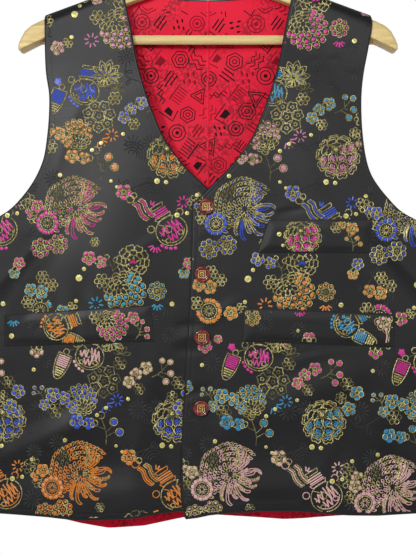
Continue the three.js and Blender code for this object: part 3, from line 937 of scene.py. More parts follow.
def spider():
    """A spider mum: close hairpin petals above, long curling ones to the right and below."""
    heart, shade = np.array([0.08, 0.12]), np.array([-0.5, -0.38])
    rows = (
        (0.03, 6, 0.0, 6.28), (0.14, 10, 0.3, 6.28), (0.27, 14, 0.1, 6.28),
        (0.42, 15, 2.25, 3.5), (0.57, 19, 2.15, 3.6), (0.72, 23, 2.25, 3.5), (0.87, 25, 2.2, 3.5),
    )
    parts = []
    for row, (start, count, first, spread) in enumerate(rows):
        centre = heart * (1 - 0.3 * start)
        for k, a in enumerate(around(count, first, spread)):
            foot = start + 0.025 * math.sin(5.3 * k + row)
            shape = petal(a, foot, 0.18, 0.115, 0.7, 6, centre, 0.1)[2:-1]
            shaded = np.hypot(*(shape.mean(axis=0) - shade)) < 0.27
            parts.append(line(shape, "olive" if shaded else "gold"))
            if (k + 2 * row) % 3 == 0 and not shaded:
                parts.append(line(spoke(a, foot + 0.05, foot + 0.14, centre), "accent"))
    for count, shift, start, reach in ((12, 0, 0.36, 0.56), (9, 0.5, 0.3, 0.36)):
        for k in range(count):
            a = -1.15 + (k + shift) * 3.5 / count
            spine = hook_spine(a, start, reach * (1 + 0.2 * math.sin(2.6 * k)), 1 if k == 3 else -1) + heart
            if (k + count) % 3 == 1:
                parts.append(line(hairpin(spine, 0.055), "accent"))
            else:
                parts += [line(hairpin(spine, 0.055)), line(spine[len(spine) // 2:], "accent")]
    return parts


def peony():
    """A full peony: ruffled petals in rings that lean on an off-centre rosette."""
    heart = np.array([-0.1, -0.34])
    rings = ((10, 0.1, 0.86, 0.99), (10, 0.1, 0.76, 0.88), (8, 0.35, 0.46, 0.74), (5, 0.9, 0.18, 0.46))
    parts = []
    for ring, (count, first, inner, outer) in enumerate(rings):
        half = 0.98 * math.pi / count
        for a in around(count, first):
            parts.append(line(cup(a, half, inner, outer, heart, 2 + (ring > 1))))
            if ring == 0 or math.cos(a - 1.1) < -0.5:
                continue
            arc = a + half * np.linspace(-0.6, 0.6, 5)
            parts.append(band(leaning(arc, np.full(5, outer - 0.07), heart)))
            if ring > 1:
                reach = np.array([outer - 0.07, outer - 0.2])
                for shift, style in ((-0.32, line), (0.04, line), (0.4, band)):
                    parts.append(style(leaning(np.full(2, a + half * shift), reach, heart), "accent"))
    for k in range(9):
        parts.append(line(petal(k * 0.7, 0.1, 0.12, 0.1, 0.7, 4, heart)[1:], "olive"))
    return parts + [loop(disc(*heart, 0.09, 7)), fill(disc(*heart, 0.05, 6), "pale_gold")]


def line_mum():
    """A mum in outline over a small coloured heart."""
    heart = np.array([0.0, 0.16])
    parts = []
    for count, inner, outer in ((10, 0.7, 0.97), (8, 0.46, 0.7), (6, 0.24, 0.45)):
        for a in around(count, 0.2 * count):
            parts.append(line(cup(a, 1.05 * math.pi / count, inner, outer, heart, 2)))
    return parts + rays(around(7, 3.3, 3.2), 0.06, 0.22, "accent", heart)


def hydrangea():
    """A head of small ruffled flowers."""
    parts = [loop(wavy(0, 0, 0.32)), loop(disc(0, 0, 0.12, 6))]
    for k, a in enumerate(around(7, 0.2)):
        x, y = polar(0.66, a)
        parts += [loop(wavy(x, y, 0.3, k)), loop(disc(x, y, 0.11, 6))]
    return parts


def lotus():
    base = (0, 0.3)
    petals = (
        (-90, 1, 0.44), (-122, 0.95, 0.4), (-58, 0.95, 0.4), (-155, 0.9, 0.36),
        (-25, 0.9, 0.36), (170, 0.72, 0.3), (10, 0.72, 0.3),
    )
    parts = []
    for angle, length, width in petals:
        a = math.radians(angle)
        parts.append(loop(petal(a, 0.1, length, width, 0.55, 6, base)))
        parts.append(loop(petal(a, 0.2, 0.66 * length, 0.55 * width, 0.55, 5, base)))
        parts.append(line(spoke(a, 0.26, 0.46, base), "accent"))
    return parts + [loop(petal(math.radians(a), 0.06, 0.5, 0.26, 0.6, 4, base)) for a in (45, 80, 110, 140)]


def burst():
    return rays(around(8, 0.2), 0.45, 1.0, "accent", style=band)


def dark_burst():
    return rays(around(12), 0.42, 1.0, "black", style=band) + rays(around(8, 0.2), 0.12, 0.34, "black")


def dark_arcs():
    angle = np.linspace(3.4, 6.0, 10)
    arc = columns(np.cos(angle), np.sin(angle))
    return [line(radius * arc, "black") for radius in (0.35, 0.55, 0.75, 0.95)]


def dark_vine():
    """A curling stem with small leaves, black on black."""
    s = np.linspace(0, 1, 12)
    stem = columns(-1 + 2 * s, 0.35 * np.sin(5.5 * s))
    parts = [line(stem, "black")]
    for knot, side in ((2, -1), (5, 1), (8, -1), (10, -1)):
        parts.append(loop(petal(side * 1.1, 0.05, 0.42, 0.2, 0.6, 4, stem[knot]), "black"))
    return parts


def dot():
    return [fill(disc(0, 0, 0.95, 9), "pale_gold"), loop(disc(0, 0, 0.3, 5), "olive")]


def fan():
    return rays(around(5, 0.6, 2.4), 0.35, 1.0, "accent", style=band)


def twig():
    """A forked stem with a bud at each end."""
    parts = [line([(0.25, 1.1), (0.2, 0.55), (0.05, 0.1), (-0.3, -0.5)], "olive")]
    for start, middle, end, size in (
        ((0.2, 0.55), (0.6, 0.2), (1.0, 0.1), 0.2),
        ((0.05, 0.1), (-0.4, 0.0), (-0.75, -0.2), 0.17),
        ((0.1, 0.3), (0.45, -0.2), (0.5, -0.5), 0.2),
        ((-0.3, -0.5), (-0.35, -0.65), (-0.4, -0.8), 0.18),
    ):
        bud = [fill(disc(*end, size, 7)), loop(disc(*end, size * 1.35, 8))]
        parts += [line([start, middle, end], "olive")] + bud
    return parts


def jar():
    """A round jar with a striped neck, ring handles and a scribbled belly."""
    belly = np.array([0, 0.14])
    arc = np.linspace(0.4, 2.9, 14)
    parts = [loop(oval(0, 0, 0.74, 0.8, 20, belly))]
    parts.append(line(columns(0.66 * np.cos(arc), 0.6 * np.sin(arc)) + belly))
    parts += [band([(-0.38, y), (0.38, y)]) for y in (-1.04, -0.92, -0.8)]
    for wide, top, narrow, foot in ((0.46, -0.72, 0.36, -0.56), (0.36, -1.34, 0.28, -1.16)):
        parts.append(loop([(-wide, top), (wide, top), (narrow, foot), (-narrow, foot)]))
    scribbles = ((-0.56, -0.1, 5, 0.4, 0.1), (0.06, 0.56, 6, 0.5, 0.3), (-0.3, 0.16, 5, -0.12, 0.52))
    for first, last, strokes, top, foot in scribbles:
        xs = np.linspace(first, last, strokes)
        ys = np.sqrt(1 - (xs / 0.74) ** 2) * np.where(np.arange(strokes) % 2, foot, -top)
        parts.append(band(columns(xs, ys) + belly))
    for x, y, radius in ((-0.1, -0.12, 0.17), (0.34, 0.3, 0.13), (-0.42, 0.36, 0.12)):
        parts.append(loop(wavy(x, y, radius) + belly))
    for side in (-1, 1):
        scroll = [(side * 0.42, -0.44), (side * 0.2, -0.24), (side * 0.34, 0.0), (side * 0.6, 0.1)]
        parts += [loop(disc(side * 0.84, -0.44, 0.18, 8)), line(scroll)]
    return parts + [fill(oval(1.9 + 0.26 * k, 0.9, 0.1, 0.08, 6, belly)) for k in range(4)]


def cone():
    """A tapering vase with a rounded foot: coloured rows above, gold below."""
    def half_at(y):
        return 0.43 * np.sqrt(1 - ((y + 0.2) / 1.22) ** 2)

    rows = np.linspace(-0.55, 0.98, 9)
    side = columns(half_at(rows), rows)
    parts = [loop(np.vstack([side, side[::-1] * (-1, 1)]))]
    for number, y in enumerate((-0.43, -0.31, -0.19, -0.07, 0.05, 0.17, 0.34, 0.48, 0.62, 0.76)):
        half = half_at(y) - 0.09
        row = columns(np.linspace(-half, half, 5), y + 0.02 * (np.arange(5) % 2))
        parts.append(band(row, "accent" if number < 6 else "gold"))
    stalk = line([(0.1, -0.8), (0.3, -1.0), (0.5, -1.1)], "olive")
    return parts + [loop(disc(0, -0.72, 0.18, 8)), stalk, fill(wavy(-0.34, -0.95, 0.2))]


def wand():
    """A blossom on two rippled ribbons."""
    parts = [(role, style, points * 0.42 + (-0.9, -0.8)) for role, style, points in blossom()]
    parts += [loop(disc(-0.58, -0.44, 0.2)), loop(disc(-0.4, -0.62, 0.15))]
    wave = np.linspace(0, 1, 7)
    for shift in (0.0, 0.3):
        x = -0.42 + shift + wave * 0.66 + 0.06 * np.sin(wave * 8)
        y = -0.3 - shift * 0.6 + wave * 0.9 + 0.06 * np.cos(wave * 8)
        spine = columns(x, y)
        ribbon = np.vstack([spine + (0.08, -0.06), (spine + (-0.08, 0.06))[::-1]])
        parts += [band(spine), loop(ribbon)]
    return parts + rays(around(3, -1.6, 1.8), 0.1, 0.32, "accent", (0.45, -0.05), band)


def sprig_tree():
    heads = (
        (-0.5, -0.4), (-0.15, -0.62), (0.25, -0.55), (0.5, -0.25), (-0.3, -0.1), (0.1, -0.2), (0.05, 0.1)
    )
    parts = []
    for x, y in heads:
        parts += [loop(disc(x, y, 0.26, 8)), fill(disc(x, y, 0.13, 6))]
    stem = [band([(0.05, 0.2), (0.12, 0.6), (0.05, 1.0)]), line([(0.2, 0.2), (0.26, 0.6), (0.22, 1.0)])]
    return parts + stem


def leaves():
    return [loop(petal(math.radians(a), 0.1, 0.9, 0.34, 0.6, 5), "olive") for a in (-150, -100, -55, -10)]


MOTIFS = {
    shape.__name__: shape()
    for shape in (
        blossom, open_blossom, sunflower, scalloped, pompom, spider, peony, hydrangea, lotus, line_mum,
        burst, dark_burst, dark_arcs, dark_vine, dot, fan, twig, jar, cone, wand, sprig_tree, leaves,
    )
}

# Motifs that hide what lies behind them, with the share of their size that does
ROUND_MOTIFS = {
    "blossom": 0.95, "open_blossom": 0.9, "sunflower": 0.98, "scalloped": 0.98, "pompom": 0.95,
    "spider": 0.85, "peony": 0.95, "hydrangea": 0.9, "line_mum": 0.95, "dot": 1.2, "jar": 0.75,
}

# One repeat of the brocade, around its spider mum: motif, x, y, size and turn, in chart units.
# What lies in front comes first.
CHART_UNIT = 1.068
CHART_STEP = (171, 6)
CHART_ROW = 265
CHART = (
    ("sunflower", -26, 18, 11.5, 0),
    ("scalloped", -33, 43, 10, 0),
    ("scalloped", -15, 39, 10, 20),
    ("scalloped", 84, 86, 9.5, 0),
    ("blossom", -36, 1, 7, 0),
    ("dot", 124, -10, 2.2, 0),
    ("dot", 104, 10, 2.8, 0),
    ("dot", 114, 8, 2.2, 0),
    ("blossom", 129, 6, 6.5, 20),
    ("blossom", 116, 58, 6.5, 0),
    ("blossom", 111, 68, 6, 40),
    ("blossom", 16, 53, 7.5, 0),
    ("blossom", 28, 57, 6.5, 25),
    ("dot", 6, 73, 3.6, 0),
    ("dot", 99, 99, 2.6, 0),
    ("dot", 3, 96, 2.2, 0),
    ("dot", 11, 64, 2.2, 0),
    ("blossom", 128, 85, 7, 0),
    ("blossom", 139, 87, 7.5, 30),
    ("open_blossom", -46, 97, 7, 0),
    ("sunflower", -33, 105, 13, 0),
    ("blossom", -11, 107, 7.5, 12),
    ("blossom", -24, 133, 4.5, 0),
    ("blossom", 134, 146, 7.5, 0),
    ("blossom", 56, 177, 6.5, 0),
    ("blossom", 63, 169, 6.5, 30),
    ("blossom", 73, 163, 7, 0),
    ("dot", 55, 194, 2, 0),
    ("blossom", 115, 187, 7.5, 0),
    ("blossom", 107, 203, 7.5, 20),
    ("dot", 131, 165, 2.2, 0),
    ("blossom", -20, 190, 8, 0),
    ("blossom", -9, 193, 7, 20),
    ("blossom", -29, 200, 6, 0),
    ("dot", 33, 203, 2.2, 0),
    ("dot", 24, 210, 2.2, 0),
    ("blossom", -1, -49, 7.5, 0),
    ("blossom", 11, -47, 6.5, 10),
    ("dot", 84, -24, 3, 0),
    ("dot", 93, -23, 2.3, 0),
    ("dot", -13, -30, 2.3, 0),
    ("dot", 38, -24, 1.8, 0),
    ("dot", 44, -18, 1.8, 0),
    ("jar", 97, 23, 20, -32),
    ("jar", 17, 149, 18, 8),
    ("cone", -11, 158, 17, 22),
    ("open_blossom", -46, -5, 8, 30),
    ("open_blossom", -40, 12, 7, 0),
    ("wand", 69, 3, 20, 0),
    ("open_blossom", 121, -2, 7, 0),
    ("open_blossom", 22, 37, 5, 0),
    ("open_blossom", 29, 76, 8, 0),
    ("open_blossom", 140, 72, 7, 0),
    ("open_blossom", 149, 80, 7, 0),
    ("open_blossom", -1, 102, 5.5, 0),
    ("open_blossom", 47, 158, 7, 0),
    ("open_blossom", 66, 184, 6, 0),
    ("open_blossom", 105, 178, 7, 0),
    ("open_blossom", 99, 192, 6, 40),
    ("open_blossom", -18, 206, 8, 0),
    ("pompom", 52, 87, 21, 0),
    ("lotus", 39, 132, 17, 15),
    ("pompom", 8, 195, 16, 200),
    ("peony", 96, -49, 22, 0),
    ("line_mum", 60, 56, 16.5, 0),
    ("spider", 0, 0, 30, 0),
    ("hydrangea", 31, 176, 17, 30),
    ("fan", 83, 40, 8, 20),
    ("burst", 110, -3, 6.5, 0),
    ("twig", 38, 60, 10, 0),
    ("fan", 84, 98, 7.5, 0),
    ("burst", 23, 99, 7.5, 0),
    ("leaves", 48, 150, 10, 0),
    ("twig", 90, 165, 12, 70),
    ("twig", -34, 188, 8, -20),
    ("fan", 31, 199, 9, -40),
    ("burst", 44, 195, 6.5, 0),
    ("twig", 27, -42, 15, 10),
    ("dark_burst", 95, 102, 9, 0),
    ("dark_burst", 58, 116, 9, 0),
    ("dark_burst", 77, 115, 9, 0),
    ("dark_burst", 97, 130, 9, 0),
    ("dark_burst", -30, 156, 9, 0),
    ("dark_burst", -20, -27, 9, 0),
    ("dark_burst", -44, -18, 8, 0),
    ("dark_burst", 125, 30, 10, 0),
    ("dark_burst", 60, -60, 10, 0),
    ("dark_burst", 78, -62, 9, 0),
    ("dark_burst", 132, -60, 10, 0),
    ("dark_arcs", 77, -8, 15, 0),
    ("dark_arcs", 64, 215, 14, 40),
    ("dark_vine", 62, -20, 18, 20),
    ("dark_vine", 140, 110, 20, -30),
    ("dark_vine", 128, 215, 22, 10),
    ("dark_vine", 66, 138, 16, 60),
    ("dark_vine", -46, 72, 16, -20),
)
TINTED = ("spider", "sunflower", "wand", "jar", "blossom", "scalloped")
# Painted shade: below this drop two in three gold parts of these motifs turn olive, darker where less light
# falls low on the cloth
PAINTED_SHADE_KINDS = ("open_blossom", "scalloped", "line_mum", "hydrangea")
PAINTED_SHADE_FROM = 470
CHART_CENTRES = {-1: (73, 205), 1: (242, 206)}
CHART_LEAN = {-1: 5, 1: -14}
CHART_ORIGIN = (-208, 101)
# The corner at the hem's right hangs a little in and down from its place in the repeat.
CORNER_SAG = (-8, 8)
# Motifs centred further out than this, in millimetres, don't reach the cloth.
CHART_OVERHANG, CHART_TOP, CHART_FOOT = 30, 80, 690

BUTTONHOLE_LIP = 0.9
BUTTONHOLE_ENDS = (-11.5, 3)
BUTTONHOLE_THREAD = 1.1

# The accent thread changes colour down the cloth: last drop of each band and its silk
BANDS = {
    -1: (
        (172, "pink"), (236, "blue"), (302, "orange"), (395, "magenta"),
        (470, "turquoise"), (519, "blush"), (583, "blue"), (700, "orange"),
    ),
    1: (
        (172, "magenta"), (236, "cyan"), (306, "pink"), (396, "blue"),
        (446, "orange"), (519, "magenta"), (583, "cyan"), (700, "blush"),
    ),
}

# What shows on each welt: motif, x, drop, size, turn and silk
WELT_MOTIFS = {
    "chest_welt": (
        ("peony", 101, 361, 20, 0, "magenta"),
        ("dot", 76, 358, 2.6, 0, "orange"),
        ("dot", 80, 370, 1.8, 0, "orange"),
        ("blossom", 154, 352, 7, 0, "orange"),
        ("blossom", 145, 347, 6, 20, "orange"),
        ("open_blossom", 137, 351, 6.5, 0, "orange"),
        ("twig", 154, 366, 9, 10, "orange"),
        ("dark_burst", 120, 355, 9, 0, "black"),
    ),
    "left_pocket_welt": (
        ("scalloped", 47, 447, 9, 0, "orange"),
        ("dot", 67, 441, 3, 0, "magenta"),
        ("fan", 98, 439, 7, 0, "magenta"),
        ("dark_burst", 61, 453, 9, 0, "black"),
        ("dark_burst", 96, 460, 9, 0, "black"),
        ("dot", 96, 461, 2.2, 0, "gold"),
        ("blossom", 108, 470, 8, 0, "magenta"),
        ("jar", 150, 453, 18, 60, "cyan"),
        ("cone", 165, 468, 17, -65, "cyan"),
        ("sprig_tree", 190, 458, 16, 0, "blush"),
    ),
    "right_pocket_welt": (
        ("fan", -209, 449, 8, 0, "turquoise"),
        ("dot", -211, 467, 3, 0, "gold"),
        ("jar", -160, 456, 18, 70, "orange"),
        ("cone", -146, 470, 15, -75, "orange"),
        ("dark_burst", -185, 458, 9, 0, "black"),
        ("pompom", -102, 455, 17, 0, "magenta"),
        ("blossom", -80, 447, 7, 0, "magenta"),
        ("twig", -72, 460, 10, 40, "magenta"),
        ("open_blossom", -119, 446, 8, 0, "magenta"),
    ),
}


def band_colour(side, drop):
    return next(colour for last, colour in BANDS[side] if drop < last)


def half_width(side, drop):
    """Distance from the middle to the armhole or, below it, to the side seam."""
    arm = np.interp(drop, ARMHOLE_DROPS, ARMHOLE[side])
    seam = np.interp(drop, SIDE_SEAM["drop"], SIDE_SEAM["half"])
    return np.where(drop < UNDERARM_DROP, arm, seam)


# How far the threads keep from each edge of a front
LAP_MARGIN, SIDE_MARGIN, SHOULDER_MARGIN, HEM_MARGIN, WELT_MARGIN = 1.6, 2.2, 1.2, 2.0, 0.8


def in_front(side):
    """Whether a point shows on a front, clear of its edges."""
    welts = [corners for welt_side, corners in WELTS.values() if welt_side == side]

    def inside(x, drop):
        neck = np.interp(drop, NECK_EDGE["drop"], NECK_EDGE["half"])
        lap = np.where(drop < LAP_CORNER_DROP, neck, np.interp(drop, LAP_EDGE["drop"], LAP_EDGE["x"]))
        if side > 0:
            shows = x > lap + LAP_MARGIN
        else:
            shows = x < np.minimum(-neck, lap + 2 * LAP_MARGIN) - LAP_MARGIN
        shows = shows & (side * x < half_width(side, drop) - SIDE_MARGIN)
        shows &= drop > ridge_drop(x) + SHOULDER_MARGIN
        shows &= drop < hem_drop(side, x) - HEM_MARGIN
        for corners in welts:
            shows &= quad_edge(corners, x, drop) <= -WELT_MARGIN
        return shows

    return inside


def quad_edge(corners, x, drop):
    """Distance from the nearest side of a four-cornered patch, positive inside it."""
    nearest = np.full(np.shape(x), 1e3)
    for (x0, d0), (x1, d1) in zip(corners, corners[1:] + corners[:1]):
        length = math.hypot(x1 - x0, d1 - d0)
        nearest = np.minimum(nearest, ((x1 - x0) * (drop - d0) - (d1 - d0) * (x - x0)) / length)
    return nearest


def chart_place(side, row, column, x, y):
    """x and drop on a front of a chart point, in that row and column of repeats."""
    centre_x, centre_y = CHART_CENTRES[side]
    x += centre_x + column * CHART_STEP[0] + row * CHART_LEAN[side]
    y += centre_y + column * CHART_STEP[1] * (side > 0) + row * CHART_ROW
    if side > 0 and row == 1 and column == 1:
        x += CORNER_SAG[0]
        y += CORNER_SAG[1]
    return (x + CHART_ORIGIN[0]) * CHART_UNIT, (y + CHART_ORIGIN[1]) * CHART_UNIT


def tint_of(kind, row, drop, colour):
    """A second colour for some of a motif's gold, and which parts in so many stay gold. Low on the cloth,
    olive in place of gold is painted shade.
    """
    if row == 1 and kind in TINTED:
        return colour, 2 if colour == "blush" else 4
    # painted shade: olive in place of gold low on the cloth
    if drop > PAINTED_SHADE_FROM and kind in PAINTED_SHADE_KINDS:
        return "olive", 3
    return ()


def embroider_front(side, name):
    work = Embroidery(lambda x, drop: front_y(x, drop, side), in_front(side))
    for kind, chart_x, chart_y, size, turn in CHART:
        for row, column in itertools.product((-1, 0, 1), repeat=2):
            x, drop = chart_place(side, row, column, chart_x, chart_y)
            if abs(x) <= CHEST_HALF + CHART_OVERHANG and CHART_TOP < drop < CHART_FOOT:
                colour = band_colour(side, drop)
                tint = tint_of(kind, row, drop, colour)
                work.motif(kind, x, drop, size * CHART_UNIT, turn, colour, tint)
    if side > 0:
        for x, drop in BUTTONS:
            for lip in (-BUTTONHOLE_LIP, BUTTONHOLE_LIP):
                ends = [(x + end, drop + lip) for end in BUTTONHOLE_ENDS]
                work.line(ends, "black", False, BUTTONHOLE_THREAD)
    return work.build(name, THREADS)


# Fronts. The steps are distances from an edge at which the cloth's grid has a row or column.
EDGE_STEPS = np.array([0, 0.35, 0.9, 1.6, 2.6, 4.4, 5.4, 6.0, 6.6, 7.6])
SIDE_STEPS = np.array([0, 0.15, 0.5, 1.0, 1.7, 2.6, 3.6, 4.8, 6, 7, 8.6, 11, 14, 18, 22, 27])
TOP_STEPS = np.array([0, 0.3, 0.8, 1.6, 2.8, 4.4, 6.4, 9, 12, 16, 20])
WELT_STEPS = np.array([0, 0.3, 0.8, 1.5, 2.4, 3.5])
UPPER_LENGTH, LOWER_LENGTH = 270, 312
STITCH_LINE = 6.0
STITCH_SINK, STITCH_DIP = 0.1, 0.8
# How far out and down from the neck's edge its stitches run, and where those of the hems start and end
NECK_STITCHES = (7.2, 1.5)
HEM_STITCHES = {-1: (-36, -246), 1: (-15.5, 246)}
LAP_WIDTH = 18
# Further than any point lies from an edge
FAR = 99


def cloth_rows(count_up, count_low):
    """Rows of the cloth's grid, closer together near the shoulder and the hem."""
    return np.unique(np.concatenate([
        TOP_STEPS / UPPER_LENGTH,
        np.linspace(24 / UPPER_LENGTH, 1, count_up),
        np.linspace(1, 2 - 9 / LOWER_LENGTH, count_low),
        2 - EDGE_STEPS / LOWER_LENGTH,
    ]))


def groove(edge):
    """How far a row of stitches draws the cloth in, near an edge."""
    return STITCH_SINK * np.exp(-(((edge - STITCH_LINE) / STITCH_DIP) ** 2))


def make_front(side, node):
    rows = cloth_rows(86, 104)
    width = CHEST_HALF + (LAP_WIDTH if side > 0 else UNDERLAP)
    cols = np.unique(np.concatenate([
        EDGE_STEPS / width, np.linspace(9 / width, 1 - 30 / width, 80), 1 - SIDE_STEPS / width
    ]))
    x, drop = front_plan(side, rows, cols)
    points = columns(x, front_y(x, drop, side), -drop)
    v, t = np.meshgrid(rows, cols, indexing="ij")
    inner_edge, hem_edge = t * width, (2 - v) * LOWER_LENGTH
    arm_edge = np.where(v <= 1, (1 - t) * width * 0.5, FAR)
    edge = np.minimum(np.minimum(inner_edge, hem_edge), arm_edge)
    points = points - normals_of(points, -1) * (groove(inner_edge) + groove(hem_edge))[..., None]
    return shell(node, points, -1, 0, -FRONT_CLOTH, edge, (BROCADE, LINING, BROCADE))


# A stitch's eight points: along and across its length, and up. Then its faces.
STITCH_POINTS = (
    (-0.5, 0, 0), (-0.3, 1, 0), (0.3, 1, 0), (0.5, 0, 0),
    (0.3, -1, 0), (-0.3, -1, 0), (-0.25, 0, 1), (0.25, 0, 1),
)
STITCH_FACES = ((0, 1, 6), (1, 2, 7, 6), (2, 3, 7), (3, 4, 7), (4, 5, 6, 7), (5, 0, 6))
STITCH_LIFT = 0.05


def stitches(name, paths, surface, pitch, length, radius):
    """Short raised stitches along paths of (x, drop), joined into one mesh."""
    centres, directions = [], []
    for path in paths:
        path = np.asarray(path, float)
        run = run_of(path)
        at = np.arange(pitch / 2, run[-1] - pitch / 2, pitch)
        spot, ahead = points_along(path, run, at), points_along(path, run, at + 0.1)
        centres.append(spot)
        directions.append((ahead - spot) / (np.hypot(*(ahead - spot).T)[:, None] + 1e-9))
    centre, heading = np.vstack(centres), np.vstack(directions)
    across = columns(-heading[:, 1], heading[:, 0])
    plan, lifts = [], []
    for along, aside, up in STITCH_POINTS:
        plan.append(centre + heading * along * length + across * aside * radius)
        lifts.append(np.full(len(centre), STITCH_LIFT + up * radius * 1.3))
    plan, lifts = np.stack(plan, 1).reshape(-1, 2), np.stack(lifts, 1).ravel()
    points = lifted(surface, plan[:, 0], plan[:, 1], lifts)
    faces = [[8 * k + i for i in face] for k in range(len(centre)) for face in STITCH_FACES]
    return add_piece(name, points, faces, (THREADS["black"],), closed=False)


def front_stitches(side, name):
    """Topstitching inside the neckline, the lapping edge, the hem and the armhole."""
    s = np.linspace(0, 1, 120)
    half, drop = neck_edge(s[6:-4])
    paths = [columns(side * (half + NECK_STITCHES[0]), drop + NECK_STITCHES[1])]
    if side > 0:
        x, drop = lap_edge(s[2:-4])
        paths.append(columns(x + STITCH_LINE, drop))
    x = np.linspace(*HEM_STITCHES[side], 120)
    paths.append(columns(x, hem_drop(side, x) - STITCH_LINE))
    half, drop = armhole[side](np.linspace(0.03, 0.94, 120))
    arm = columns(side * half, drop)
    slope = np.gradient(arm, axis=0)
    slope /= np.hypot(*slope.T)[:, None]
    inward = columns(-slope[:, 1], slope[:, 0]) * side
    paths.append(arm + inward * STITCH_LINE)
    return stitches(name, paths, lambda x, d: front_y(x, d, side), pitch=3.4, length=2.0, radius=0.2)


# Back and its lining
CENTRE_SEAM_DEPTH, CENTRE_SEAM_WIDTH = 0.45, 0.9
ROLL_RADIUS = 1.25


def make_back(node, outer, material):
    rows = cloth_rows(60, 74)
    neck_share = NECK_HALF / SHOULDER_HALF
    half = np.unique(np.concatenate([
        np.array([0, 0.5, 1.1, 2, 3.2]) / CHEST_HALF,
        np.linspace(6 / CHEST_HALF, 1 - 32 / CHEST_HALF, 58),
        1 - SIDE_STEPS / CHEST_HALF,
        np.array([0.94, 0.97, 0.985, 1, 1.01]) * neck_share,
    ]))
    cols = np.concatenate([-half[:0:-1], half])
    x, drop = back_plan(rows, cols)
    seam = CENTRE_SEAM_DEPTH * np.exp(-((x / CENTRE_SEAM_WIDTH) ** 2))
    points = columns(x, back_y(x, drop) - seam, -drop)
    v, t = np.meshgrid(rows, np.abs(cols), indexing="ij")
    neck = np.where(t < neck_share - 0.01, v * UPPER_LENGTH, FAR)
    arm = np.where(v <= 1, (1 - t) * CHEST_HALF, FAR)
    edge = np.minimum(np.minimum((2 - v) * LOWER_LENGTH, neck), arm)
    return shell(node, points, 1, outer, outer - THIN_CLOTH, edge, (material,) * 3)


def neck_roll():
    """The dark rolled edge at the back of the neck, over the top of the lining."""
    x = np.linspace(-NECK_HALF + 2, NECK_HALF - 2, 90)
    drop = back_top(np.abs(x)) + 0.6
    y = back_y(x, drop + 0.8) - THIN_CLOTH - SEAM_GAP / 2
    rings = rod_rings(columns(x, y, -drop), ROLL_RADIUS, 12)
    return loft("neck_roll", rings, BACK_SATIN)


# Printed lining: generic shapes, each with radius 1
def zigzag(count, height, y):
    xs = np.linspace(-0.9, 0.9, 2 * count + 1)
    return columns(xs, y + height * (np.arange(len(xs)) % 2 * 2 - 1) / 2)


def regular(sides, radius, turn=0.0):
    angle = turn + circle(sides)
    return columns(radius * np.cos(angle), radius * np.sin(angle))


def print_shapes():
    hexagons = [loop(regular(6, r)) for r in (0.95, 0.6, 0.25)]
    comb = [line([(x, -0.5), (x, 0.5)]) for x in np.linspace(-0.75, 0.75, 6)]
    comb.append(band([(-0.9, 0.66), (0.9, 0.66)]))
    rings = [loop(regular(14, r)) for r in (0.85, 0.5)] + [fill(regular(8, 0.2))]
    chevrons = [line(zigzag(2, 0.36, y)) for y in (-0.5, 0.0, 0.5)]
    triangles = [loop(regular(3, r, 0.5)) for r in (1.0, 0.55)]
    bars = [band([(-0.8, y), (end, y)]) for y, end in ((-0.4, 0.4), (0, 0.8), (0.4, 0.4))]
    wedge = [fill([(-0.5, 0.4), (0.5, 0.4), (0.3, -0.2), (-0.4, -0.3)])]
    wedge.append(line([(-0.9, 0.7), (0.9, 0.7), (0.7, -0.6)]))
    stair = np.array([(-0.9, 0.8), (-0.3, 0.8), (-0.3, 0.2), (0.3, 0.2), (0.3, -0.4), (0.9, -0.4)])
    steps = [line(stair - (0, s)) for s in (0.0, 0.36)]
    places = ((-0.6, 0), (-0.2, 0.4), (0.2, -0.1), (0.6, 0.3), (0, -0.6))
    seeds = [fill(oval(0.7, 0, 0.24, 0.12, 7, place)) for place in places]
    shapes = (hexagons, comb, rings, chevrons, triangles, bars, wedge, steps, seeds)
    return [[("accent", style, points) for _, style, points in shape] for shape in shapes]


PRINT_PITCH = 21
PRINT_ROW_PITCH = 0.92
PRINT_ROWS = 29
PRINT_COLUMNS = range(-12, 13)
PRINT_TOP = 108
PRINT_SCATTER = 2.5
PRINT_SIZES = (9, 11.5)
PRINT_TURNS = [36, -54, 126]
PRINT_RISE = 0.3
PRINT_WIDTH = 1.05
PRINT_SIDE_MARGIN, PRINT_HEM_MARGIN, PRINT_TOP_MARGIN = 14, 1.6, 12


def in_lining(x, drop):
    """Whether a point of the lining's inner face takes the print."""
    side = np.abs(x) < np.minimum(half_width(-1, drop), half_width(1, drop)) - PRINT_SIDE_MARGIN
    hem = drop < np.interp(x, HEM_BACK["x"], HEM_BACK["drop"]) - PRINT_HEM_MARGIN
    return side & hem & (drop > back_top(np.minimum(np.abs(x), SHOULDER_HALF)) + PRINT_TOP_MARGIN)


def print_lining():
    """Dark shapes printed over the lining's inner face, in staggered rows."""
    inner = SEAM_GAP + 2 * THIN_CLOTH
    work = Embroidery(back_y, in_lining, -inner, -PRINT_RISE, 1, PRINT_WIDTH)
    shapes = print_shapes()
    MOTIFS.update({f"print_{number}": shape for number, shape in enumerate(shapes)})
    for row, column in itertools.product(range(PRINT_ROWS), PRINT_COLUMNS):
        shift_x = rng.uniform(-PRINT_SCATTER, PRINT_SCATTER)
        shift_drop = rng.uniform(-PRINT_SCATTER, PRINT_SCATTER)
        size, turn = rng.uniform(*PRINT_SIZES), rng.choice(PRINT_TURNS)
        x = (column + 0.5 * (row % 2)) * PRINT_PITCH + shift_x
        drop = PRINT_TOP + row * PRINT_PITCH * PRINT_ROW_PITCH + shift_drop
        kind = f"print_{(3 * column + 5 * row) % len(shapes)}"
        ink = "print" if (column + row) % 3 else "red"
        work.motif(kind, x, drop, size, turn, ink)
    return work.build("lining_print", {"print": PRINT, "red": DARK_RED_PRINT})


# Welts
WELT_SLOPE, WELT_RIM, WELT_STITCH_LINE = 8, 1.3, 2.6


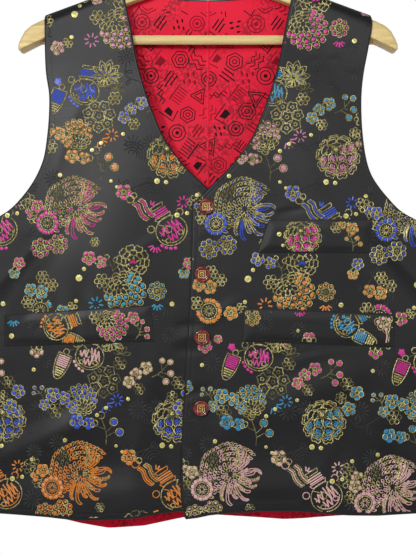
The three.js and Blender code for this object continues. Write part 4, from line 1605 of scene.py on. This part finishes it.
def welt_points(corners):
    """x and drop over a welt's grid, and the distance to its nearest edge."""
    (ax, ad), (bx, bd), (cx, cd), (dx, dd) = corners
    width, height = math.hypot(bx - ax, bd - ad), math.hypot(dx - ax, dd - ad)
    across = [WELT_STEPS / width, np.linspace(0.04, 0.96, int(width / 3)), 1 - WELT_STEPS / width]
    down = [WELT_STEPS / height, np.linspace(0.14, 0.86, 10), 1 - WELT_STEPS / height]
    v, t = np.meshgrid(np.unique(np.concatenate(down)), np.unique(np.concatenate(across)), indexing="ij")
    x = (ax + (bx - ax) * t) * (1 - v) + (dx + (cx - dx) * t) * v
    drop = (ad + (bd - ad) * t) * (1 - v) + (dd + (cd - dd) * t) * v
    return x, drop, np.minimum(np.minimum(v, 1 - v) * height, np.minimum(t, 1 - t) * width)


def make_welt(node, side, corners):
    """A welt's cloth, then its threads and its stitches."""
    def rise(x, drop):
        return SEAM_GAP + WELT_CLOTH * (0.35 + 0.65 * smooth(quad_edge(corners, x, drop) / WELT_SLOPE))

    def surface(x, drop):
        return front_y(x, drop, side) - rise(x, drop)

    x, drop, edge = welt_points(corners)
    points = columns(x, surface(x, drop), -drop)
    cloth = shell(node, points, -1, 0, SEAM_GAP - rise(x, drop), edge, (BROCADE,) * 3)
    work = Embroidery(surface, lambda x, drop: quad_edge(corners, x, drop) > WELT_RIM)
    for motif in WELT_MOTIFS[node]:
        work.motif(*motif)
    threads = work.build(node + "_brocade", THREADS)
    middle = np.mean(corners, axis=0)
    ring = [np.array(corner) + WELT_STITCH_LINE * np.sign(middle - corner) for corner in corners]
    paths = [ring[1:3], ring[2:4], [ring[3], ring[0]]]
    return cloth, [threads, stitches(node + "_stitches", paths, surface, pitch=2.8, length=1.9, radius=0.22)]


# Buttons
def button_seat(x, drop):
    """Centre and axes of a button's seat on the lapping front."""
    step = 4.0

    def cloth(aside, below):
        return float(front_y(np.array(x + aside), np.array(drop + below), 1))

    along = np.array([2 * step, cloth(step, 0) - cloth(-step, 0), 0])
    down = np.array([0, cloth(0, step) - cloth(0, -step), -2 * step])
    out = np.cross(down, along)
    out /= np.linalg.norm(out)
    right = along / np.linalg.norm(along)
    return np.array([x, cloth(0, 0), -drop]) + out * BUTTON_SEAT, right, np.cross(out, right), out


def on_button(seat, points):
    at, right, up, out = seat
    points = np.asarray(points, float)
    return at + points[:, :1] * right + points[:, 1:2] * up + points[:, 2:] * out


# Radius and height of the button's profile, as shares of the whole
BUTTON_PROFILE = (
    (0, 0), (0.6, 0), (0.78, 0.08), (0.93, 0.3), (0.99, 0.52), (1, 0.66), (0.98, 0.82), (0.93, 0.94),
    (0.86, 1), (0.79, 0.98), (0.73, 0.9), (0.67, 0.79), (0.6, 0.74), (0.4, 0.75), (0.2, 0.77), (0, 0.78),
)
BUTTON_SIDES = 48


def turned(profile, sides):
    """Points and faces of a turned solid. Its profile starts and ends on the axis."""
    angle = circle(sides)
    points = [(0, 0, profile[0][1]), (0, 0, profile[-1][1])]
    for radius, height in profile[1:-1]:
        points += [(radius * math.cos(a), radius * math.sin(a), height) for a in angle]
    last = len(points) - sides
    faces = []
    for k in range(sides):
        n = (k + 1) % sides
        faces += [[0, 2 + n, 2 + k], [last + k, last + n, 1]]
        faces += [[a + k, a + n, a + sides + n, a + sides + k] for a in range(2, last, sides)]
    return points, faces


def make_button(number, x, drop):
    seat = button_seat(x, drop)
    profile = [(radius * BUTTON_RADIUS, height * BUTTON_HEIGHT) for radius, height in BUTTON_PROFILE]
    points, faces = turned(profile, BUTTON_SIDES)
    node = f"button_{number}"
    button = add_piece(node + "_resin", on_button(seat, points), faces, (RESIN,))
    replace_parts(button, node)
    make_inlay(node + "_inlay", seat, INLAY_HEIGHT * BUTTON_HEIGHT)


INLAY_HEIGHT = 0.79
INLAY_OUTER, INLAY_INNER, INLAY_HALF = 3.6, 1.8, 0.36
# Across and up, around the bar of the inlay
INLAY_SECTION = (
    (-INLAY_HALF, -0.3), (-INLAY_HALF, 0.12), (-0.2, 0.3), (0.2, 0.3), (INLAY_HALF, 0.12), (INLAY_HALF, -0.3)
)


def make_inlay(name, seat, height):
    """A gold square frame with a key fret in it."""
    bars = []
    for size, sides in ((INLAY_OUTER, 4), (INLAY_INNER, 3)):
        corners = [(-size, -size), (size, -size), (size, size), (-size, size)]
        bars += list(zip(corners, corners[1:] + corners[:1]))[:sides]
    bars += [((-INLAY_INNER, INLAY_INNER), (-INLAY_INNER, 0)), ((-INLAY_INNER, 0), (0.3, 0))]
    points, faces = [], []
    for (x0, y0), (x1, y1) in bars:
        length = math.hypot(x1 - x0, y1 - y0)
        ux, uy = (x1 - x0) / length, (y1 - y0) / length
        first = len(points)
        for s in (-INLAY_HALF, length + INLAY_HALF):
            for side, z in INLAY_SECTION:
                points.append((x0 + ux * s - uy * side, y0 + uy * s + ux * side, height + z))
        faces += prism_faces(2, len(INLAY_SECTION), first)
    add_piece(name, on_button(seat, points), faces, (BUTTON_GOLD,), flat=range(len(faces)))


# Hanger
ARM_HEEL, ARM_TIP_FROM, ARM_TIP_FADE, ARM_TIP_CROWN = 1.6, 172, 25, 8
CROWN_TURNS, HEEL_TURNS = 14, 4
BAR_DROP, BAR_RADIUS, BAR_HALF, BAR_FLUTES, FLUTE_DEPTH = 146.8, 5, 182, 22, 0.28
HOOK_WIRE, HOOK_INNER, HOOK_STEM_DEPTH = 1.75, 20, 14
HOOK_TIP = np.array([0.45, 0.75, 0.93, 1.0])


def arm_ring(x, top, bottom, half):
    """One section of the arms: a rounded crown above two small rounded heels."""
    beyond = float(smooth((abs(x) - ARM_TIP_FROM) / ARM_TIP_FADE))
    crown = min(half + (ARM_TIP_CROWN - half) * beyond, 0.6 * (bottom - top))
    ring = []
    for k in range(CROWN_TURNS + 1):
        a = math.pi * k / CROWN_TURNS
        y = -np.sign(round(math.cos(a), 6)) * (half - crown) - math.cos(a) * crown
        ring.append((y, -(top + crown * (1 - math.sin(a)))))
    heel = []
    for k in range(HEEL_TURNS + 1):
        a = math.pi / 2 * k / HEEL_TURNS
        y = half - ARM_HEEL + ARM_HEEL * math.cos(a)
        heel.append((y, -(bottom - ARM_HEEL + ARM_HEEL * math.sin(a))))
    return [(x, y, z) for y, z in ring + heel + [(-y, z) for y, z in reversed(heel)]]


def make_arms():
    half = np.unique(np.concatenate([np.arange(0, 176, 4.0), np.arange(176, 203, 1.5), [203, 203.5, 203.8]]))
    xs = np.concatenate([-half[:0:-1], half])
    top, bottom, thick = (np.interp(np.abs(xs), ARM["half"], ARM[key]) for key in ("top", "bottom", "thick"))
    rings = np.array([arm_ring(*section) for section in zip(xs, top, bottom, thick / 2)])
    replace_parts(loft("hanger_arms_wood", rings, WOOD), "hanger_arms")


def make_bar():
    """The trouser bar, turned with fine grooves along it."""
    sides = BAR_FLUTES * 6
    angle = circle(sides)
    radius = BAR_RADIUS - FLUTE_DEPTH * (0.5 + 0.5 * np.cos(BAR_FLUTES * angle)) ** 3
    xs = np.linspace(-BAR_HALF, BAR_HALF, 41)
    ring = columns(np.zeros(sides), radius * np.cos(angle), radius * np.sin(angle) - BAR_DROP)
    rings = ring[None] + columns(xs, 0 * xs, 0 * xs)[:, None]
    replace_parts(loft("trouser_bar_wood", rings, WOOD), "trouser_bar")


def make_hook():
    radius = HOOK_INNER + HOOK_WIRE
    centre = -HOOK_INNER
    wood_top = -ARM["top"][0]
    turns = np.radians(np.arange(205, -49, -11.5))
    knots = [(radius * math.cos(a), centre + radius * math.sin(a)) for a in turns]
    knots += [(6.5, centre - radius - 1), (1.2, centre - radius - 6)]
    knots += [(0, wood_top - 1), (0, wood_top - HOOK_STEM_DEPTH)]
    x, z = curve_through(*zip(*knots))(np.linspace(0, 1, 150))
    radii = np.full(len(x), HOOK_WIRE)
    radii[:len(HOOK_TIP)] = HOOK_WIRE * HOOK_TIP
    rings = rod_rings(columns(x, 0 * x, z), radii, 18)
    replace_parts(loft("hook_wire", rings, STEEL), "hook")


# Assembly
right_front = make_front(-1, "right_front")
left_front = make_front(1, "left_front")
right_threads = embroider_front(-1, "right_front_brocade")
left_threads = embroider_front(1, "left_front_brocade")
right_seams = front_stitches(-1, "right_front_stitches")
left_seams = front_stitches(1, "left_front_stitches")

back = make_back("back", 0, BACK_SATIN)
lining = make_back("back_lining", -THIN_CLOTH - SEAM_GAP, LINING)
print_on_lining = print_lining()
roll = neck_roll()

welt_cloths = {node: make_welt(node, side, corners) for node, (side, corners) in WELTS.items()}
for number, place in enumerate(BUTTONS, 1):
    make_button(number, *place)
make_arms()
make_bar()
make_hook()


# Stage, in metres
CAMERA_DISTANCE = 1.35
SENSOR_HEIGHT = 24
FRAME_HEIGHT = 0.5927
FRAME_PLANE = -0.020
FRAME_CENTRE_DROP = 0.4042
FLOOR_SIDES, FLOOR_RADIUS, FLOOR_HEIGHT = 64, 2.5, -1.6
MIDDLE = (0, 0, -FRAME_CENTRE_DROP)
# Name, place, target, size and power
LAMPS = (
    ("key", (-0.75, -1.9, 0.15), (0, 0, -0.3), 0.22, 20),
    ("near", (-0.2, -1.0, 0.14), (0, 0, -0.2), 0.4, 3),
    ("fill", (0.85, -1.5, 0.1), MIDDLE, 1.2, 7),
    ("behind", (0.2, 1.6, 0.3), MIDDLE, 1.4, 12),
)
# How light the world is at its lowest and highest, then at heights between 0 and 1
SKY_ENDS = (0.1, 0.3)
SKY_LEVELS = ((0.27, 0.15), (0.33, 1.0), (0.62, 1.0), (0.68, 0.3))


def area_light(name, place, target, size, power):
    light = bpy.data.lights.new(name, "AREA")
    light.shape = "DISK"
    light.size = size
    light.energy = power
    lamp = new_object(name, light)
    lamp.location = place
    direction = np.array(target) - np.array(place)
    yaw = math.atan2(direction[1], direction[0]) - math.pi / 2
    pitch = math.atan2(direction[2], math.hypot(direction[0], direction[1])) + math.pi / 2
    lamp.rotation_euler = (pitch, 0, yaw)


def floor_disc():
    turns = circle(FLOOR_SIDES)
    ring = [(FLOOR_RADIUS * math.cos(a), FLOOR_RADIUS * math.sin(a), FLOOR_HEIGHT) for a in turns]
    mesh = bpy.data.meshes.new("floor")
    mesh.from_pydata(ring, [], [list(range(FLOOR_SIDES))])
    paint = Paint("floor", 0.8)
    paint.shader.inputs["Base Color"].default_value = srgb(244, 243, 240)
    mesh.materials.append(paint.material)
    new_object("floor", mesh)


def make_world():
    """A white studio: a bright band at the middle heights, dimmer towards the front."""
    world = bpy.data.worlds.new("white_studio")
    world.use_nodes = True
    sky = world.node_tree
    background = sky.nodes["Background"]
    ray = sky.nodes.new("ShaderNodeTexCoord").outputs["Generated"]
    split = sky.nodes.new("ShaderNodeSeparateXYZ")
    sky.links.new(ray, split.inputs["Vector"])
    ramp = sky.nodes.new("ShaderNodeValToRGB")
    for element, level in zip(ramp.color_ramp.elements, SKY_ENDS):
        element.color = (level, level, level, 1)
    for height, level in SKY_LEVELS:
        ramp.color_ramp.elements.new(height).color = (level, level, level, 1)
    sky.links.new(mapped(sky, split.outputs["Z"], From_Min=-1), ramp.inputs["Fac"])
    sky.links.new(ramp.outputs["Color"], background.inputs["Color"])
    dim = mapped(sky, split.outputs["Z"], From_Min=-0.12, From_Max=0.12, To_Min=0.22, To_Max=0.6)
    strength = mapped(sky, split.outputs["Y"], From_Min=-0.8, From_Max=-0.3, To_Min=dim)
    sky.links.new(strength, background.inputs["Strength"])
    bpy.context.scene.world = world
    bpy.context.scene.view_settings.view_transform = "Standard"


def make_camera():
    data = bpy.data.cameras.new("camera")
    data.sensor_fit = "VERTICAL"
    data.sensor_height = SENSOR_HEIGHT
    data.lens = SENSOR_HEIGHT * (CAMERA_DISTANCE + FRAME_PLANE) / FRAME_HEIGHT
    camera = new_object("camera", data)
    camera.location = (0, -CAMERA_DISTANCE, -FRAME_CENTRE_DROP)
    camera.rotation_euler = (math.pi / 2, 0, 0)
    bpy.context.scene.camera = camera


floor_disc()
for lamp in LAMPS:
    area_light(*lamp)
make_world()
make_camera()
